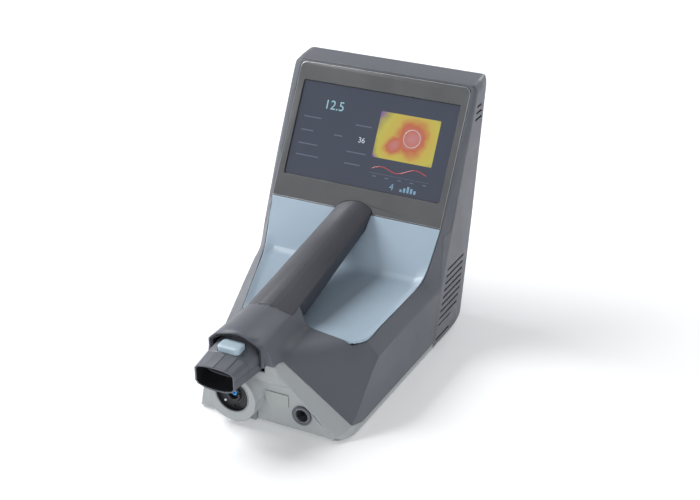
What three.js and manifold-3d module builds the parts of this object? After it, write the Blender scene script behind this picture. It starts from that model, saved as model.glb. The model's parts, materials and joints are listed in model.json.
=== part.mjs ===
// Desktop laser therapy device: a leaning display head over a pale scoop tray, a carry handle
// that crosses the tray, and a handpiece docked in the nose, all on a light grey base.
// Millimetres. X runs to the right, Y to the back, Z up. While the pieces are made, X = 0 is the
// centre of the display and handle, Y = 0 the face of the boss and Z = 0 the underside of the base.
import * as THREE from 'three';
import { mergeVertices } from 'three/addons/utils/BufferGeometryUtils.js';
import Module from 'manifold-3d';

const wasm = await Module();
wasm.setup();

// Shared clearances and walls
const seamGap = 0.35;
const seatGap = 0.3;
const weldGap = 0.0001;
const slopeProbe = 0.03;
const shellWall = 2.6;
const cutOverrun = 40;
const smoothSteps = 6;
const cornerSteps = 2;

// Body outline in plan
const wallSideBorder = 10.3;
const wallDraftShare = 0.02;
const frontY = 12.5;
const cornerReachX = 18;
const cornerReachY = 24;
const leftFootX = 45.6;
const leftFootEndLead = 58.3;
const leftTopX = 31.8;
const leftTopEndLead = 19.3;
const leftBlend = 10;

// Rim round the tray, seen from the side
const rimZ = 68;
const rimOuterZ = 54;
const rimSideStep = 2.6;
const rimStraightLead = 38.3;
const leftRimX = 43;
const leftRimY = 90;
const leftRimEndLead = 9.5;
const noseFootX = 30;
const outerKneeLead = 17.5;
const outerRiseShare = 1.95;
const outerBlend = 12;
const rimBlend = 16;
const trayRiseShare = 1.285;

// Display head
const bezelTilt = 30;
const bezelSideBorder = 7.28;
const bezelFootBorder = 24.26;
const bezelTopBorder = 18.64;
const bezelFootY = 238.3;
const bezelFootZ = 111.5;
const bezelThickness = 4;
const bezelCornerRadius = 7;
const topRiseShare = 0.17;
const topFrontDepth = 3.4;
const topFrontLift = 2.4;
const topEdgeDrop = 8;
const topBlend = 6;
const headEdgeReach = 30;

// Back of the body
const rearFootDepth = 40;
const rearLeanShare = 0.252;
const rearCornerRadius = 18;
const rearTopRadius = 9;
const rearBottomRadius = 46;
const bodyTopLift = 6.76;

// Front of the hood and base
const facetZ = 72.5;
const facetPerXShare = 0.869;
const facetPerYShare = 0.9;
const facetBlend = 9;
const frontTopZ = 46;
const frontLeanShare = 2.4;
const frontBlend = 5;
const noseFlankBlend = 9;
const baseRimZ = 4;
const baseTopZ = 62;
const baseDiagLowZ = 9.7;
const baseDiagTurnY = 30;
const baseDiagEndY = 48;
const baseFrontSeamY = 22.2;
const baseFrontSeamShare = 0.0767;
const baseLeftTopX = 30;
const baseLeftLowZ = 30;
const baseLeftTurnY = 24;
const baseLeftEndY = 60;
const seamFootLead = 39.3;
const seamKneeLead = 16.8;
const seamKneeZ = 58.8;

// Nose and handle share one crown line
const noseFrontY = 7;
const noseCrownZ = 92.5;
const handleSeamY = 62;
const handleSeamCrownZ = 91.5;
const handleEndSeat = 5.7;
const handleEndCrownZ = 120.5;
const crownRadius = 38;
const noseHalfWidth = 28.6;
const handleFrontHalfWidth = 24;
const handleEndHalfWidth = 19.2;
const handleFrontLowZ = 58;
const handleEndLowZ = 97.5;
const handleLowInset = 2.2;
const handleSeamLeanShare = 0.87;
const handleWall = 3;
const handleSplitDrop = 0.6;
const handleBottomRadius = 5;

// Tray scoop
const openingFrontY = 82.5;
const openingCornerInset = 12.2;
const openingCornerY = 73;
const openingCornerRadius = 12;
const trayFloorZ = 55;
const trayFloorFrontY = 78;
const trayFloorReach = 60;
const trayFoldBlend = 14;
const traySideReach = 12;
const trayThickness = 2.4;

// Display window
const windowWidth = 176.64;
const windowHeight = 99.4;
const windowCornerRadius = 1.5;
const windowRebate = 2.4;
const windowRebateMargin = 3;
const ledgeWidth = 2.4;
const standoffLength = 3;
const glassThickness = 1.2;
const panelThickness = 5.5;
const boardThickness = 1.6;
const boardWidth = 120;
const boardHeight = 62;
const chipSize = 14;
const chipHeight = 1.8;

// Boss and fibre socket
const bossRadius = 25.6;
const bossX = -3.5;
const bossZ = 27.2;
const socketX = -2.9;
const socketZ = 29.4;
const bossEdge = 0.8;
const socketRadius = 17;
const socketDepth = 15;
const socketRingWidth = 0.9;
const socketRingProud = 0.6;
const socketRingLength = 5;
const socketCoreRadius = 8.2;
const socketCoreLength = 9;
const socketFloorThickness = 3;
const ferruleRadius = 2.6;
const ferruleLength = 10;
const ferruleProud = 1.5;
const ferruleBore = 1.2;
const contactRadius = 1.5;
const contactLength = 4;
const contactReach = 11;
const contactAngle = 205;
const roundSteps = 28;

// Recess, label plate and second port
const recessDepth = 3.2;
const recessTopZ = 44.4;
const recessLeftX = 14;
const recessTopRightX = 43;
const recessDiagX = 50.7;
const recessDiagZ = 42;
const recessLowInset = 21.9;
const recessLowZ = 11.4;
const recessEndInset = 13.9;
const recessFloorZ = 5.4;
const recessCornerRadius = 6;
const labelLeftX = 24;
const labelPortGap = 3.8;
const labelZ = 27.6;
const labelHeight = 13;
const labelThickness = 0.8;
const labelCornerRadius = 1.2;
const portInset = 44.5;
const portZ = 17;
const portOuterRadius = 9.8;
const portInnerRadius = 7.4;
const portProud = 2.4;
const portDepth = 16;
const portFlange = 1.2;
const portPinRadius = 1.1;
const portPinLength = 6;
const portPinCircle = 3.9;
const portPinCount = 4;
const portInsertThickness = 3;

// Handpiece and dock
const mouthY = -29.5;
const mouthHalfWidth = 20.6;
const mouthTopZ = 76.2;
const mouthSideTopZ = 71;
const mouthSideLowZ = 57.8;
const mouthLowZ = 51.2;
const gripStartY = 6;
const gripHalfWidth = 23.6;
const gripTopZ = 86;
const gripSideTopZ = 71.5;
const gripSideLowZ = 57.8;
const gripLowZ = 54.2;
const gripSwell = 8;
const gripTaper = 3;
const shoulderTopZ = 81;
const neckHalfWidth = 22.2;
const neckTopZ = 78.6;
const neckSideTopZ = 73;
const neckLowZ = 53.4;
const nozzleEndY = -9;
const handpieceEndY = 57;
const nozzleWall = 1.7;
const handpieceWall = 2.2;
const handpieceSplitZ = 66;
const opticRadius = 9.2;
const opticLength = 26;
const opticFrontY = -3;
const opticZ = 65.9;
const lensRadius = 7;
const lensThickness = 2.4;
const lensSeat = 1;
const lensBulge = 0.8;
const dockClearance = 0.5;
const gasketWidth = 1.6;
const gasketLength = 7;
const cradleWall = 1.6;
const cradleFrontY = 20;
const cradleTopZ = 62;
const cradleCorner = 6;
const cradleLegX = 18;

// Trigger button
const buttonY = 0.5;
const buttonWidth = 23;
const buttonLength = 15.5;
const buttonHeight = 7;
const buttonBaseZ = 77.6;
const buttonCornerRadius = 4.5;
const buttonCrownRadius = 34;
const crownShares = [0, 0.5, 0.7, 0.78, 0.86, 0.94];
const crownFootShare = 0.7;
const buttonTravel = 1.5;
const buttonWellRoof = 2.6;
const buttonWellMargin = 1.8;
const switchSize = 7;

// Chassis and what stands on it
const chassisSinkEdge = 2;
const chassisSideInset = 15.9;
const chassisFrontY = 42;
const chassisBackLead = 0.3;
const chassisThickness = 2.5;
const uprightDepth = 17.7;
const uprightFootZ = 14;
const uprightHalfWidth = 30;
const handleBarWidth = 14;
const handleBarHeight = 9;
const supplyWidth = 62;
const supplyLength = 95;
const supplyHeight = 38;
const supplyLead = 60.3;
const supplyInset = 53.9;
const supplySheet = 1.5;
const transformerSize = 26;
const supplyCoreShare = 0.8;
const capRadius = 7;
const capHeight = 24;
const sinkWidth = 52;
const sinkLength = 76;
const sinkBase = 5;
const sinkFinHeight = 16;
const sinkFinThickness = 1.8;
const sinkFinCount = 9;
const sinkSupplyGap = 3;
const sinkY = 150;
const laserWidth = 34;
const laserLength = 54;
const laserHeight = 15;
const laserPortRadius = 4;
const laserPortLength = 9;
const mainBoardWidth = 58;
const mainBoardFrontRoom = 16;
const mainBoardBackRoom = 6.5;
const connectorHeight = 9;
const mainChipShares = [0.3, 0.7];

// Fan on the rear wall
const fanSize = 60;
const fanDepth = 15;
const fanX = -30;
const fanZ = 150;
const fanBore = 56;
const fanHubRadius = 12;
const fanTipGap = 1.2;
const fanBladeCount = 7;
const fanBladeThickness = 1.2;
const fanBladePitch = 38;
const fanAxleRadius = 2;
const fanSpokeWidth = 3;
const fanStatorThickness = 2;
const fanCorner = 3;

// Vents in the rear cover
const ventHeight = 2.4;
const ventPitch = 6.4;
const ventCount = 11;
const ventLowZ = 4.8;
const ventLowLead = 31.6;
const ventStepY = 3.05;
const ventBackMargin = 17;
const upperVentCount = 3;
const upperVentPitch = 6.2;
const upperVentZ = 202.7;
const upperVentDepth = 66.7;
const upperVentStepY = 2.6;
const upperVentEndDepth = 82.7;
const ventFirstEndLead = 0.3;
const ventEndDepth = 40.7;
const ventCoreShare = 0.8;
const grilleSlotCount = 7;
const grilleSlotPitch = 7.4;
const grilleSlotHeight = 3;

// Mains inlet and power switch, side by side in the rear wall
const inletInset = 43.9;
const inletZ = 56;
const inletWidth = 27.5;
const inletHeight = 20;
const inletFlange = 4.5;
const inletFlangeThickness = 2;
const inletDepth = 22;
const inletWall = 2;
const inletCavityDepth = 16;
const inletPinWidth = 4;
const inletPinThickness = 2;
const inletPinLength = 15;
const inletPinSpread = 7;
const inletPinDrop = 4;
const switchZ = 90;
const switchWidth = 22;
const switchFlangeThickness = 1.6;
const rockerWidth = 18;
const rockerWell = 10;
const rockerClearance = 0.9;
const switchPlateHeight = 15;
const rockerHeight = 11;
const switchFlange = 2;
const switchDepth = 14;
const rockerAngle = 8;
const rockerProud = 2.2;
const rockerPivotDepth = 3;
const rockerHeelShare = 0.5;

// Feet and screws
const footRadius = 8;
const footProud = 2;
const footChamfer = 0.8;
const footSink = 2;
const footSideInset = 21.9;
const frontFootLeftX = 38;
const frontFootY = 34;
const rearFootLead = 13.3;
const screwRadius = 1.6;
const screwHeadRadius = 3;
const screwHeadHeight = 2;
const screwLength = 9;
const screwBossRadius = 4.2;
const screwBossHeight = 16;
const screwDriveRadius = 1.4;
const screwDriveDepth = 1.2;
const frontScrewInset = 35.9;
const frontScrewLeftX = 22;
const frontScrewY = 30;
const midScrewInset = 9.9;
const midScrewLeftInset = 23.9;
const midScrewLead = 66.3;

const degree = Math.PI / 180;
const bezelSin = Math.sin(bezelTilt * degree);
const bezelCos = Math.cos(bezelTilt * degree);

// Sizes that follow from the display window
const bezelHalfWidth = windowWidth / 2 + bezelSideBorder;
const bezelLength = windowHeight + bezelFootBorder + bezelTopBorder;
const wallBottomX = bezelHalfWidth + wallSideBorder;
const rimHalfWidth = bezelHalfWidth - rimSideStep;
const bodyTopZ = bezelFootZ + bezelLength * bezelCos + bodyTopLift;
const handleEndY = bezelFootY + handleEndSeat;
const openingCornerX = rimHalfWidth - openingCornerInset;
const footSideX = wallBottomX - footSideInset;
const midScrewX = wallBottomX - midScrewInset;
const midScrewLeftX = wallBottomX - midScrewLeftInset;
const recessEndX = wallBottomX - recessEndInset;
const recessLowX = wallBottomX - recessLowInset;
const chassisRightX = wallBottomX - chassisSideInset;
const frontScrewRightX = wallBottomX - frontScrewInset;
const supplyX = wallBottomX - supplyInset;
const sinkX = supplyX - supplyWidth / 2 - sinkSupplyGap - sinkWidth / 2;
const chassisLeftX = chassisSinkEdge + sinkWidth / 2 - sinkX;
const inletX = wallBottomX - inletInset;
const switchX = inletX;
const portX = wallBottomX - portInset;
const labelWidth = portX - portOuterRadius - labelPortGap - labelLeftX;
const labelX = labelLeftX + labelWidth / 2;
const leftFootSlope = (wallBottomX - leftFootX) / (bezelFootY - leftFootEndLead - frontY);
const leftTopSlope = (wallBottomX - wallDraftShare * rimOuterZ - leftTopX)
  / (bezelFootY - leftTopEndLead - frontY);
const leftRimSlope = (bezelHalfWidth - leftRimX) / (bezelFootY - leftRimEndLead - leftRimY);

// Places that follow the foot of the display
const rimStraightEndY = bezelFootY - rimStraightLead;
const outerKneeY = bezelFootY - outerKneeLead;
const rearFootY = bezelFootY + rearFootDepth;
const seamFootY = bezelFootY - seamFootLead;
const seamKneeY = bezelFootY - seamKneeLead;
const chassisBackY = bezelFootY - chassisBackLead;
const uprightY = bezelFootY + uprightDepth;
const supplyY = bezelFootY - supplyLead;
const supplyFrontY = supplyY - supplyLength / 2;
const mainBoardLength = supplyFrontY - chassisFrontY - mainBoardFrontRoom - mainBoardBackRoom;
const mainBoardY = supplyFrontY - mainBoardBackRoom - mainBoardLength / 2;
const ventLowY = bezelFootY - ventLowLead;
const ventFirstEndY = bezelFootY - ventFirstEndLead;
const ventEndY = bezelFootY + ventEndDepth;
const upperVentY = bezelFootY + upperVentDepth;
const upperVentEndY = bezelFootY + upperVentEndDepth;
const rearFootInsetY = bezelFootY - rearFootLead;
const midScrewY = bezelFootY - midScrewLead;

// Smooth joining of two heights: the corner between them is rounded over the blend distance.
function smoothMin(a, b, blend) {
  const overlap = Math.max(blend - Math.abs(a - b), 0) / blend;
  return Math.min(a, b) - (overlap * overlap * blend) / 4;
}

function smoothMax(a, b, blend) {
  return -smoothMin(-a, -b, blend);
}

function mix(a, b, share) {
  return a + (b - a) * share;
}

function clampShare(value) {
  return Math.min(Math.max(value, 0), 1);
}

// Solid helpers: geometry classes in, joined and cut solids out.
function solidOf(geometry) {
  const bare = geometry.clone();
  bare.deleteAttribute('normal');
  bare.deleteAttribute('uv');
  const merged = mergeVertices(bare, weldGap);
  return new wasm.Manifold(new wasm.Mesh({
    numProp: 3,
    vertProperties: new Float32Array(merged.attributes.position.array),
    triVerts: new Uint32Array(merged.index.array),
  }));
}

function geometryOf(solid) {
  const mesh = solid.getMesh();
  const geometry = new THREE.BufferGeometry();
  const positions = new Float32Array(mesh.numVert * 3);
  for (let i = 0; i < mesh.numVert; i += 1) {
    for (let k = 0; k < 3; k += 1) {
      positions[i * 3 + k] = mesh.vertProperties[i * mesh.numProp + k];
    }
  }
  geometry.setAttribute('position', new THREE.BufferAttribute(positions, 3));
  geometry.setIndex(new THREE.BufferAttribute(new Uint32Array(mesh.triVerts), 1));
  const flat = geometry.toNonIndexed();
  flat.computeVertexNormals();
  return flat;
}

function union(...solids) {
  return solids.reduce((joined, solid) => joined.add(solid));
}

function cut(body, ...tools) {
  return tools.reduce((rest, tool) => rest.subtract(tool), body);
}

function boxBetween(low, high) {
  const size = high.map((value, i) => value - low[i]);
  const geometry = new THREE.BoxGeometry(...size);
  geometry.translate(low[0] + size[0] / 2, low[1] + size[1] / 2, low[2] + size[2] / 2);
  return solidOf(geometry);
}

// A prism of an outline: its first axis, second axis and pull direction are unit vectors.
function prism(shape, axisU, axisV, origin, near, far, steps = cornerSteps) {
  const geometry = new THREE.ExtrudeGeometry(shape, {
    depth: far - near, bevelEnabled: false, curveSegments: steps, steps: 1,
  });
  const pull = new THREE.Vector3().crossVectors(axisU, axisV);
  geometry.translate(0, 0, near);
  geometry.applyMatrix4(new THREE.Matrix4().makeBasis(axisU, axisV, pull).setPosition(origin));
  return solidOf(geometry);
}

const alongX = new THREE.Vector3(1, 0, 0);
const alongY = new THREE.Vector3(0, 1, 0);
const alongZ = new THREE.Vector3(0, 0, 1);
const backward = new THREE.Vector3(0, -1, 0);
const zero = new THREE.Vector3();

// Outlines given in (x, y) and pulled up, in (y, z) and pulled right, in (x, z) and pulled forward.
function prismUp(shape, low, high, steps) {
  return prism(shape, alongX, alongY, zero, low, high, steps);
}

function prismAcross(shape, left, right, steps) {
  return prism(shape, alongY, alongZ, zero, left, right, steps);
}

function prismForward(shape, front, back, steps) {
  return prism(shape, alongX, alongZ, zero, -back, -front, steps);
}

function outline(points) {
  return new THREE.Shape(points.map(([u, v]) => new THREE.Vector2(u, v)));
}

// An outline whose corners are rounded, each by its own radius.
function roundedOutline(corners) {
  const shape = new THREE.Shape();
  corners.forEach(([u, v, radius = 0], i) => {
    const before = corners[(i + corners.length - 1) % corners.length];
    const after = corners[(i + 1) % corners.length];
    const corner = new THREE.Vector2(u, v);
    const toBefore = new THREE.Vector2(before[0] - u, before[1] - v).normalize();
    const toAfter = new THREE.Vector2(after[0] - u, after[1] - v).normalize();
    const turn = Math.acos(THREE.MathUtils.clamp(toBefore.dot(toAfter), -1, 1));
    const reach = radius / Math.tan(turn / 2);
    const entry = corner.clone().addScaledVector(toBefore, reach);
    const exit = corner.clone().addScaledVector(toAfter, reach);
    if (i === 0) {
      shape.moveTo(entry.x, entry.y);
    } else {
      shape.lineTo(entry.x, entry.y);
    }
    if (radius > 0) {
      shape.quadraticCurveTo(corner.x, corner.y, exit.x, exit.y);
    }
  });
  shape.closePath();
  return shape;
}

function roundedRectangle(u, v, width, height, radius) {
  const [a, b] = [width / 2, height / 2];
  return roundedOutline([
    [u - a, v - b, radius], [u + a, v - b, radius], [u + a, v + b, radius], [u - a, v + b, radius],
  ]);
}

// A turned piece whose axis points forward (-Y), from a profile of [radius, distance behind y].
function turned(profile, x, y, z, steps = roundSteps) {
  const geometry = new THREE.LatheGeometry(
    profile.map(([radius, depth]) => new THREE.Vector2(radius, depth)), steps,
  );
  geometry.translate(x, y, z);
  return solidOf(geometry);
}

function turnedUp(profile, x, y, z, steps = roundSteps) {
  const geometry = new THREE.LatheGeometry(
    profile.map(([radius, height]) => new THREE.Vector2(radius, height)), steps,
  );
  geometry.rotateX(Math.PI / 2);
  geometry.translate(x, y, z);
  return solidOf(geometry);
}

function rod(radius, near, far, steps) {
  return [[0, near], [radius, near], [radius, far], [0, far]];
}

// A skin through a row of closed sections that all have the same number of points.
function loft(sections) {
  const count = sections[0].length;
  const positions = [];
  const index = [];
  sections.forEach((section) => section.forEach((point) => positions.push(...point)));
  for (let s = 0; s < sections.length - 1; s += 1) {
    for (let i = 0; i < count; i += 1) {
      const next = (i + 1) % count;
      const [a, b] = [s * count + i, s * count + next];
      const [c, d] = [a + count, b + count];
      index.push(a, b, d, a, d, c);
    }
  }
  [[0, true], [sections.length - 1, false]].forEach(([s, first]) => {
    const flat = sections[s].map(([x, , z]) => new THREE.Vector2(x, z));
    THREE.ShapeUtils.triangulateShape(flat, []).forEach(([a, b, c]) => {
      const corner = [a, b, c].map((i) => s * count + i);
      index.push(...(first ? corner : corner.reverse()));
    });
  });
  const geometry = new THREE.BufferGeometry();
  geometry.setAttribute('position', new THREE.Float32BufferAttribute(positions, 3));
  geometry.setIndex(index);
  return solidOf(geometry);
}

// Guide lines of the body, as functions of how far back a section lies.
function rightWallX(z) {
  return wallBottomX - wallDraftShare * z;
}

function cornerTuck(y, inset) {
  const turn = clampShare((frontY + inset + cornerReachY - y) / cornerReachY);
  return cornerReachX * (1 - Math.sqrt(1 - turn * turn));
}

function leftBottomX(y) {
  return -smoothMin(leftFootX + (y - frontY) * leftFootSlope, wallBottomX, leftBlend);
}

function leftUpperX(y) {
  const head = rightWallX(rimOuterZ);
  return -smoothMin(leftTopX + (y - frontY) * leftTopSlope, head, leftBlend);
}

function rightRimX(y) {
  const share = clampShare((y - rimStraightEndY) / (bezelFootY - rimStraightEndY));
  return mix(rimHalfWidth, bezelHalfWidth, share);
}

function leftRimXAt(y) {
  const tapered = leftRimX + (y - leftRimY) * leftRimSlope;
  return -Math.max(smoothMin(tapered, bezelHalfWidth, leftBlend), noseFootX);
}

function topZ(y) {
  const frontTopY = bezelFootY + bezelLength * bezelSin + topFrontDepth;
  const lift = bezelFootZ + bezelLength * bezelCos + topFrontLift;
  return Math.min(lift + (y - frontTopY) * topRiseShare, bodyTopZ);
}

function rimProfileZ(y) {
  const slope = bezelFootZ + (y - bezelFootY) * trayRiseShare;
  const bezel = bezelFootZ + ((y - bezelFootY) * bezelCos) / bezelSin;
  const rising = Math.max(slope, bezel);
  return smoothMin(smoothMax(rimZ, rising, rimBlend), topZ(y), seatGap);
}

function outerProfileZ(y) {
  const rising = rimOuterZ + (y - outerKneeY) * outerRiseShare;
  return smoothMin(smoothMax(rimOuterZ, rising, outerBlend), topZ(y) - topEdgeDrop, topBlend);
}

function facetHeight(x, y) {
  return facetZ - facetPerXShare * x + facetPerYShare * y;
}

function crownZ(y) {
  if (y < handleSeamY) {
    return mix(noseCrownZ, handleSeamCrownZ, clampShare((y - noseFrontY) / (handleSeamY - noseFrontY)));
  }
  return mix(handleSeamCrownZ, handleEndCrownZ, (y - handleSeamY) / (handleEndY - handleSeamY));
}

function crownHalfWidth(y) {
  if (y < handleSeamY) {
    const share = clampShare((y - noseFrontY) / (handleSeamY - noseFrontY));
    return mix(noseHalfWidth, handleFrontHalfWidth, share);
  }
  const share = (y - handleSeamY) / (handleEndY - handleSeamY);
  return mix(handleFrontHalfWidth, handleEndHalfWidth, share);
}

function archZ(x, y) {
  const reach = Math.min(Math.abs(x), crownRadius);
  return crownZ(y) - (crownRadius - Math.sqrt(crownRadius * crownRadius - reach * reach));
}

// How far an edge has dropped across its band: straight beside the tray, rounded on the head.
function edgeDrop(share, y) {
  const across = clampShare(share);
  return mix(across, 1 - Math.sqrt(1 - across * across), clampShare((y - bezelFootY) / headEdgeReach));
}

// Height of the outer skin over a point, without the nose.
function bodyHeight(x, y) {
  const rim = rimProfileZ(y);
  const outer = outerProfileZ(y);
  const right = rightWallX(outer);
  let level = rim;
  if (x > rightRimX(y)) {
    level = mix(rim, outer, edgeDrop((x - rightRimX(y)) / (right - rightRimX(y)), y));
  }
  if (x < leftRimXAt(y)) {
    const span = leftUpperX(y) - leftRimXAt(y);
    level = mix(rim, outer, edgeDrop((x - leftRimXAt(y)) / span, y));
  }
  const facet = smoothMin(level, facetHeight(x, y), facetBlend);
  const front = frontTopZ + (y - frontY) * frontLeanShare;
  return smoothMin(facet, front, frontBlend);
}

// The nose rises through the skin in front of the handle seam, with a soft hollow at its foot.
const noseEndY = openingFrontY + seatGap * 5;
function skinHeight(x, y, behindNose = false) {
  const body = bodyHeight(x, y);
  const reach = crownHalfWidth(Math.min(y, handleSeamY));
  if (behindNose || Math.abs(x) > reach + noseFlankBlend) {
    return body;
  }
  const arch = Math.abs(x) < reach ? archZ(x, y) : archZ(reach, y)
    - (Math.abs(x) - reach) * frontLeanShare;
  return smoothMax(body, arch, noseFlankBlend);
}

// One closed section of the body at a distance back: left wall, skin from left to right, right wall.
const noseColumnShares = [-1, -0.9, -0.76, -0.58, -0.36, -0.12, 0.12, 0.36, 0.58, 0.76, 0.9, 1];
const flankColumnShares = [0.05, 0.13, 0.24, 0.38, 0.54, 0.7, 0.85, 1];
const bandColumnShares = [0.45, 0.85];
const leftColumnShares = [0, 0.35, 0.7];

function bodySection(y, inset) {
  const outer = outerProfileZ(y);
  const tuck = cornerTuck(y, inset);
  const rightBottom = wallBottomX - tuck - inset;
  const rightTop = rightWallX(outer) - tuck - inset;
  const rightRim = Math.min(rightRimX(y), rightTop);
  const leftBottom = leftBottomX(y) + inset;
  const leftTop = leftUpperX(y) + inset;
  const leftRim = Math.max(leftRimXAt(y), leftTop);
  const nose = crownHalfWidth(Math.min(y, handleSeamY));
  const columns = [leftTop];
  bandColumnShares.slice().reverse().forEach((share) => columns.push(mix(leftRim, leftTop, share)));
  leftColumnShares.forEach((share) => columns.push(mix(leftRim, -nose, share)));
  noseColumnShares.forEach((share) => columns.push(share * nose));
  flankColumnShares.forEach((share) => columns.push(mix(nose, rightRim, share)));
  bandColumnShares.forEach((share) => columns.push(mix(rightRim, rightTop, share)));
  columns.push(rightTop);
  const floor = inset;
  const step = slopeProbe;
  const behind = y > noseEndY;
  const at = (x, back) => skinHeight(x, back, behind);
  const skin = columns.map((x) => {
    const height = at(x, y);
    const slopeX = (at(x + step, y) - at(x - step, y)) / (2 * step);
    const slopeY = (at(x, y + step) - at(x, y - step)) / (2 * step);
    const drop = inset * Math.sqrt(1 + slopeX * slopeX + slopeY * slopeY);
    return [x, y, Math.max(height - drop, floor + seatGap)];
  });
  return [[leftBottom, y, floor], ...skin, [rightBottom, y, floor]];
}

// Side view of the whole body from the floor to the rounded top and back.
function sideOutline(inset) {
  const top = bodyTopZ - inset;
  const back = (z) => rearFootY + rearLeanShare * z - inset;
  return roundedOutline([
    [-cutOverrun * 2, inset],
    [back(0), inset, rearBottomRadius - inset],
    [back(top), top, rearTopRadius - inset],
    [bezelFootY, top + cutOverrun],
    [-cutOverrun * 2, top + cutOverrun],
  ]);
}

// The rounded upright corners at the back, leaning with the rear wall.
function rearCorners(inset) {
  const side = wallBottomX - inset;
  const back = rearFootY - inset;
  const shape = roundedOutline([
    [-side, -cutOverrun * 2], [side, -cutOverrun * 2],
    [side, back, rearCornerRadius - inset], [-side, back, rearCornerRadius - inset],
  ]);
  const geometry = new THREE.ExtrudeGeometry(shape, {
    depth: bodyTopZ + cutOverrun * 2, bevelEnabled: false, curveSegments: smoothSteps,
  });
  geometry.translate(0, 0, -cutOverrun);
  geometry.applyMatrix4(new THREE.Matrix4().makeShear(0, 0, 0, 0, 0, rearLeanShare));
  return solidOf(geometry);
}

const headBackY = rearFootY + rearLeanShare * bodyTopZ + rearTopRadius;
const frontRowShares = [0, 0.05, 0.11, 0.18, 0.27, 0.38, 0.5, 0.64, 0.8, 1];
const sideRowShares = [0.2, 0.6];
const kneeRowShares = [0, 0.25, 0.5, 0.7, 0.85, 1];
const faceRowShares = [0.35, 0.7];

function bodyRows(inset) {
  const bezelTopY = bezelFootY + bezelLength * bezelSin;
  const rows = frontRowShares.map((share) => mix(frontY + inset, noseEndY, share));
  rows.push(noseEndY + seatGap);
  sideRowShares.forEach((share) => rows.push(mix(noseEndY, rimStraightEndY, share)));
  kneeRowShares.forEach((share) => rows.push(mix(rimStraightEndY, bezelFootY, share)));
  faceRowShares.forEach((share) => rows.push(mix(bezelFootY, bezelTopY, share)));
  rows.push(bezelTopY - topBlend);
  rows.push(bezelTopY, bezelTopY + topFrontDepth / 2, bezelTopY + topFrontDepth);
  rows.push(bezelTopY + topFrontDepth * 2, bezelTopY + topFrontDepth * 4, headBackY);
  return rows;
}

function bodySolid(inset) {
  const loaf = loft(bodyRows(inset).map((y) => bodySection(y, inset)));
  const reach = wallBottomX + cutOverrun;
  const side = prismAcross(sideOutline(inset), -reach, reach, smoothSteps);
  return loaf.intersect(side).intersect(rearCorners(inset));
}

// The nose stands forward of the front wall as an arch on two short legs.
function noseSolid() {
  const sections = [noseFrontY, frontY + seatGap].map((y) => {
    const half = crownHalfWidth(y);
    const arch = noseColumnShares.map((share) => [share * half, y, archZ(share * half, y)]);
    return [[-half, y, baseTopZ + seamGap], ...arch, [half, y, baseTopZ + seamGap]];
  });
  return loft(sections);
}

// The tray opening in plan, with the front corners rounded; grow widens it on every side.
const leftEdgeShares = [0.02, 0.45, 0.8, 0.9, 0.97];

function openingOutline(grow) {
  const left = leftEdgeShares.map((share) => {
    const y = mix(openingFrontY, bezelFootY, share);
    return [leftRimXAt(y) - grow, y];
  });
  return roundedOutline([
    [-handleFrontHalfWidth, openingFrontY - grow],
    [handleFrontHalfWidth, openingFrontY - grow],
    [openingCornerX, openingCornerY - grow, openingCornerRadius / 2],
    [rimHalfWidth + grow, openingCornerY + openingCornerRadius, openingCornerRadius],
    [rimHalfWidth + grow, rimStraightEndY],
    [bezelHalfWidth + grow, bezelFootY],
    [-bezelHalfWidth - grow, bezelFootY],
    ...left.reverse(),
  ]);
}

// Display face: sideways, up the slope, and depth measured backward from the face.
const faceUp = new THREE.Vector3(0, bezelSin, bezelCos);
const faceOrigin = new THREE.Vector3(0, bezelFootY, bezelFootZ);

function prismBehindFace(shape, frontDepth, backDepth, steps) {
  return prism(shape, alongX, faceUp, faceOrigin, -backDepth, -frontDepth, steps);
}

function bezelOutline(grow) {
  const half = bezelHalfWidth + grow;
  return roundedOutline([
    [-half, -grow], [half, -grow],
    [half, bezelLength + grow, bezelCornerRadius + grow],
    [-half, bezelLength + grow, bezelCornerRadius + grow],
  ]);
}

// Handle: an arched bar that leans up from the nose into the display head.
function handleShare(y) {
  return (y - handleSeamY) / (handleEndY - handleSeamY);
}

function handleLowZ(y) {
  return mix(handleFrontLowZ, handleEndLowZ, handleShare(y));
}

function handleSection(y, grow) {
  const half = crownHalfWidth(Math.max(y, handleSeamY)) + grow;
  const low = handleLowZ(y) - grow;
  const foot = half - handleLowInset;
  const corner = handleBottomRadius;
  const arch = noseColumnShares.map((share) => [share * half, y, archZ(share * (half - grow), y) + grow]);
  return [
    [-foot + corner, y, low], [-foot + corner / 3, y, low + corner / 3], [-foot, y, low + corner],
    ...arch,
    [foot, y, low + corner], [foot - corner / 3, y, low + corner / 3], [foot - corner, y, low],
  ];
}

// Everything behind the leaning seam between nose and handle.
function behindHandleSeam(shift) {
  const reach = crownRadius * 2;
  const at = (z) => handleSeamY + (handleSeamCrownZ - z) * handleSeamLeanShare + shift;
  return prismAcross(outline([
    [at(handleSeamCrownZ + reach), handleSeamCrownZ + reach],
    [at(handleSeamCrownZ - reach), handleSeamCrownZ - reach],
    [headBackY + cutOverrun, handleSeamCrownZ - reach],
    [headBackY + cutOverrun, bodyTopZ],
  ]), -crownRadius * 2, crownRadius * 2);
}

function handleSolid(grow, backY) {
  const rows = [handleSeamY - crownRadius, handleSeamY, backY];
  const bar = loft(rows.map((y) => handleSection(y, grow)));
  return bar.intersect(behindHandleSeam(-grow));
}

function handleSplitOutline(shift) {
  const edge = (y) => archZ(crownHalfWidth(y), y) - handleSplitDrop + shift;
  const frontY0 = handleSeamY - handleWall * 4;
  return outline([
    [frontY0, edge(handleSeamY)], [handleSeamY, edge(handleSeamY)], [handleEndY, edge(handleEndY)],
    [handleEndY, edge(handleEndY) + cutOverrun], [frontY0, edge(handleSeamY) + cutOverrun],
  ]);
}

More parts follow.
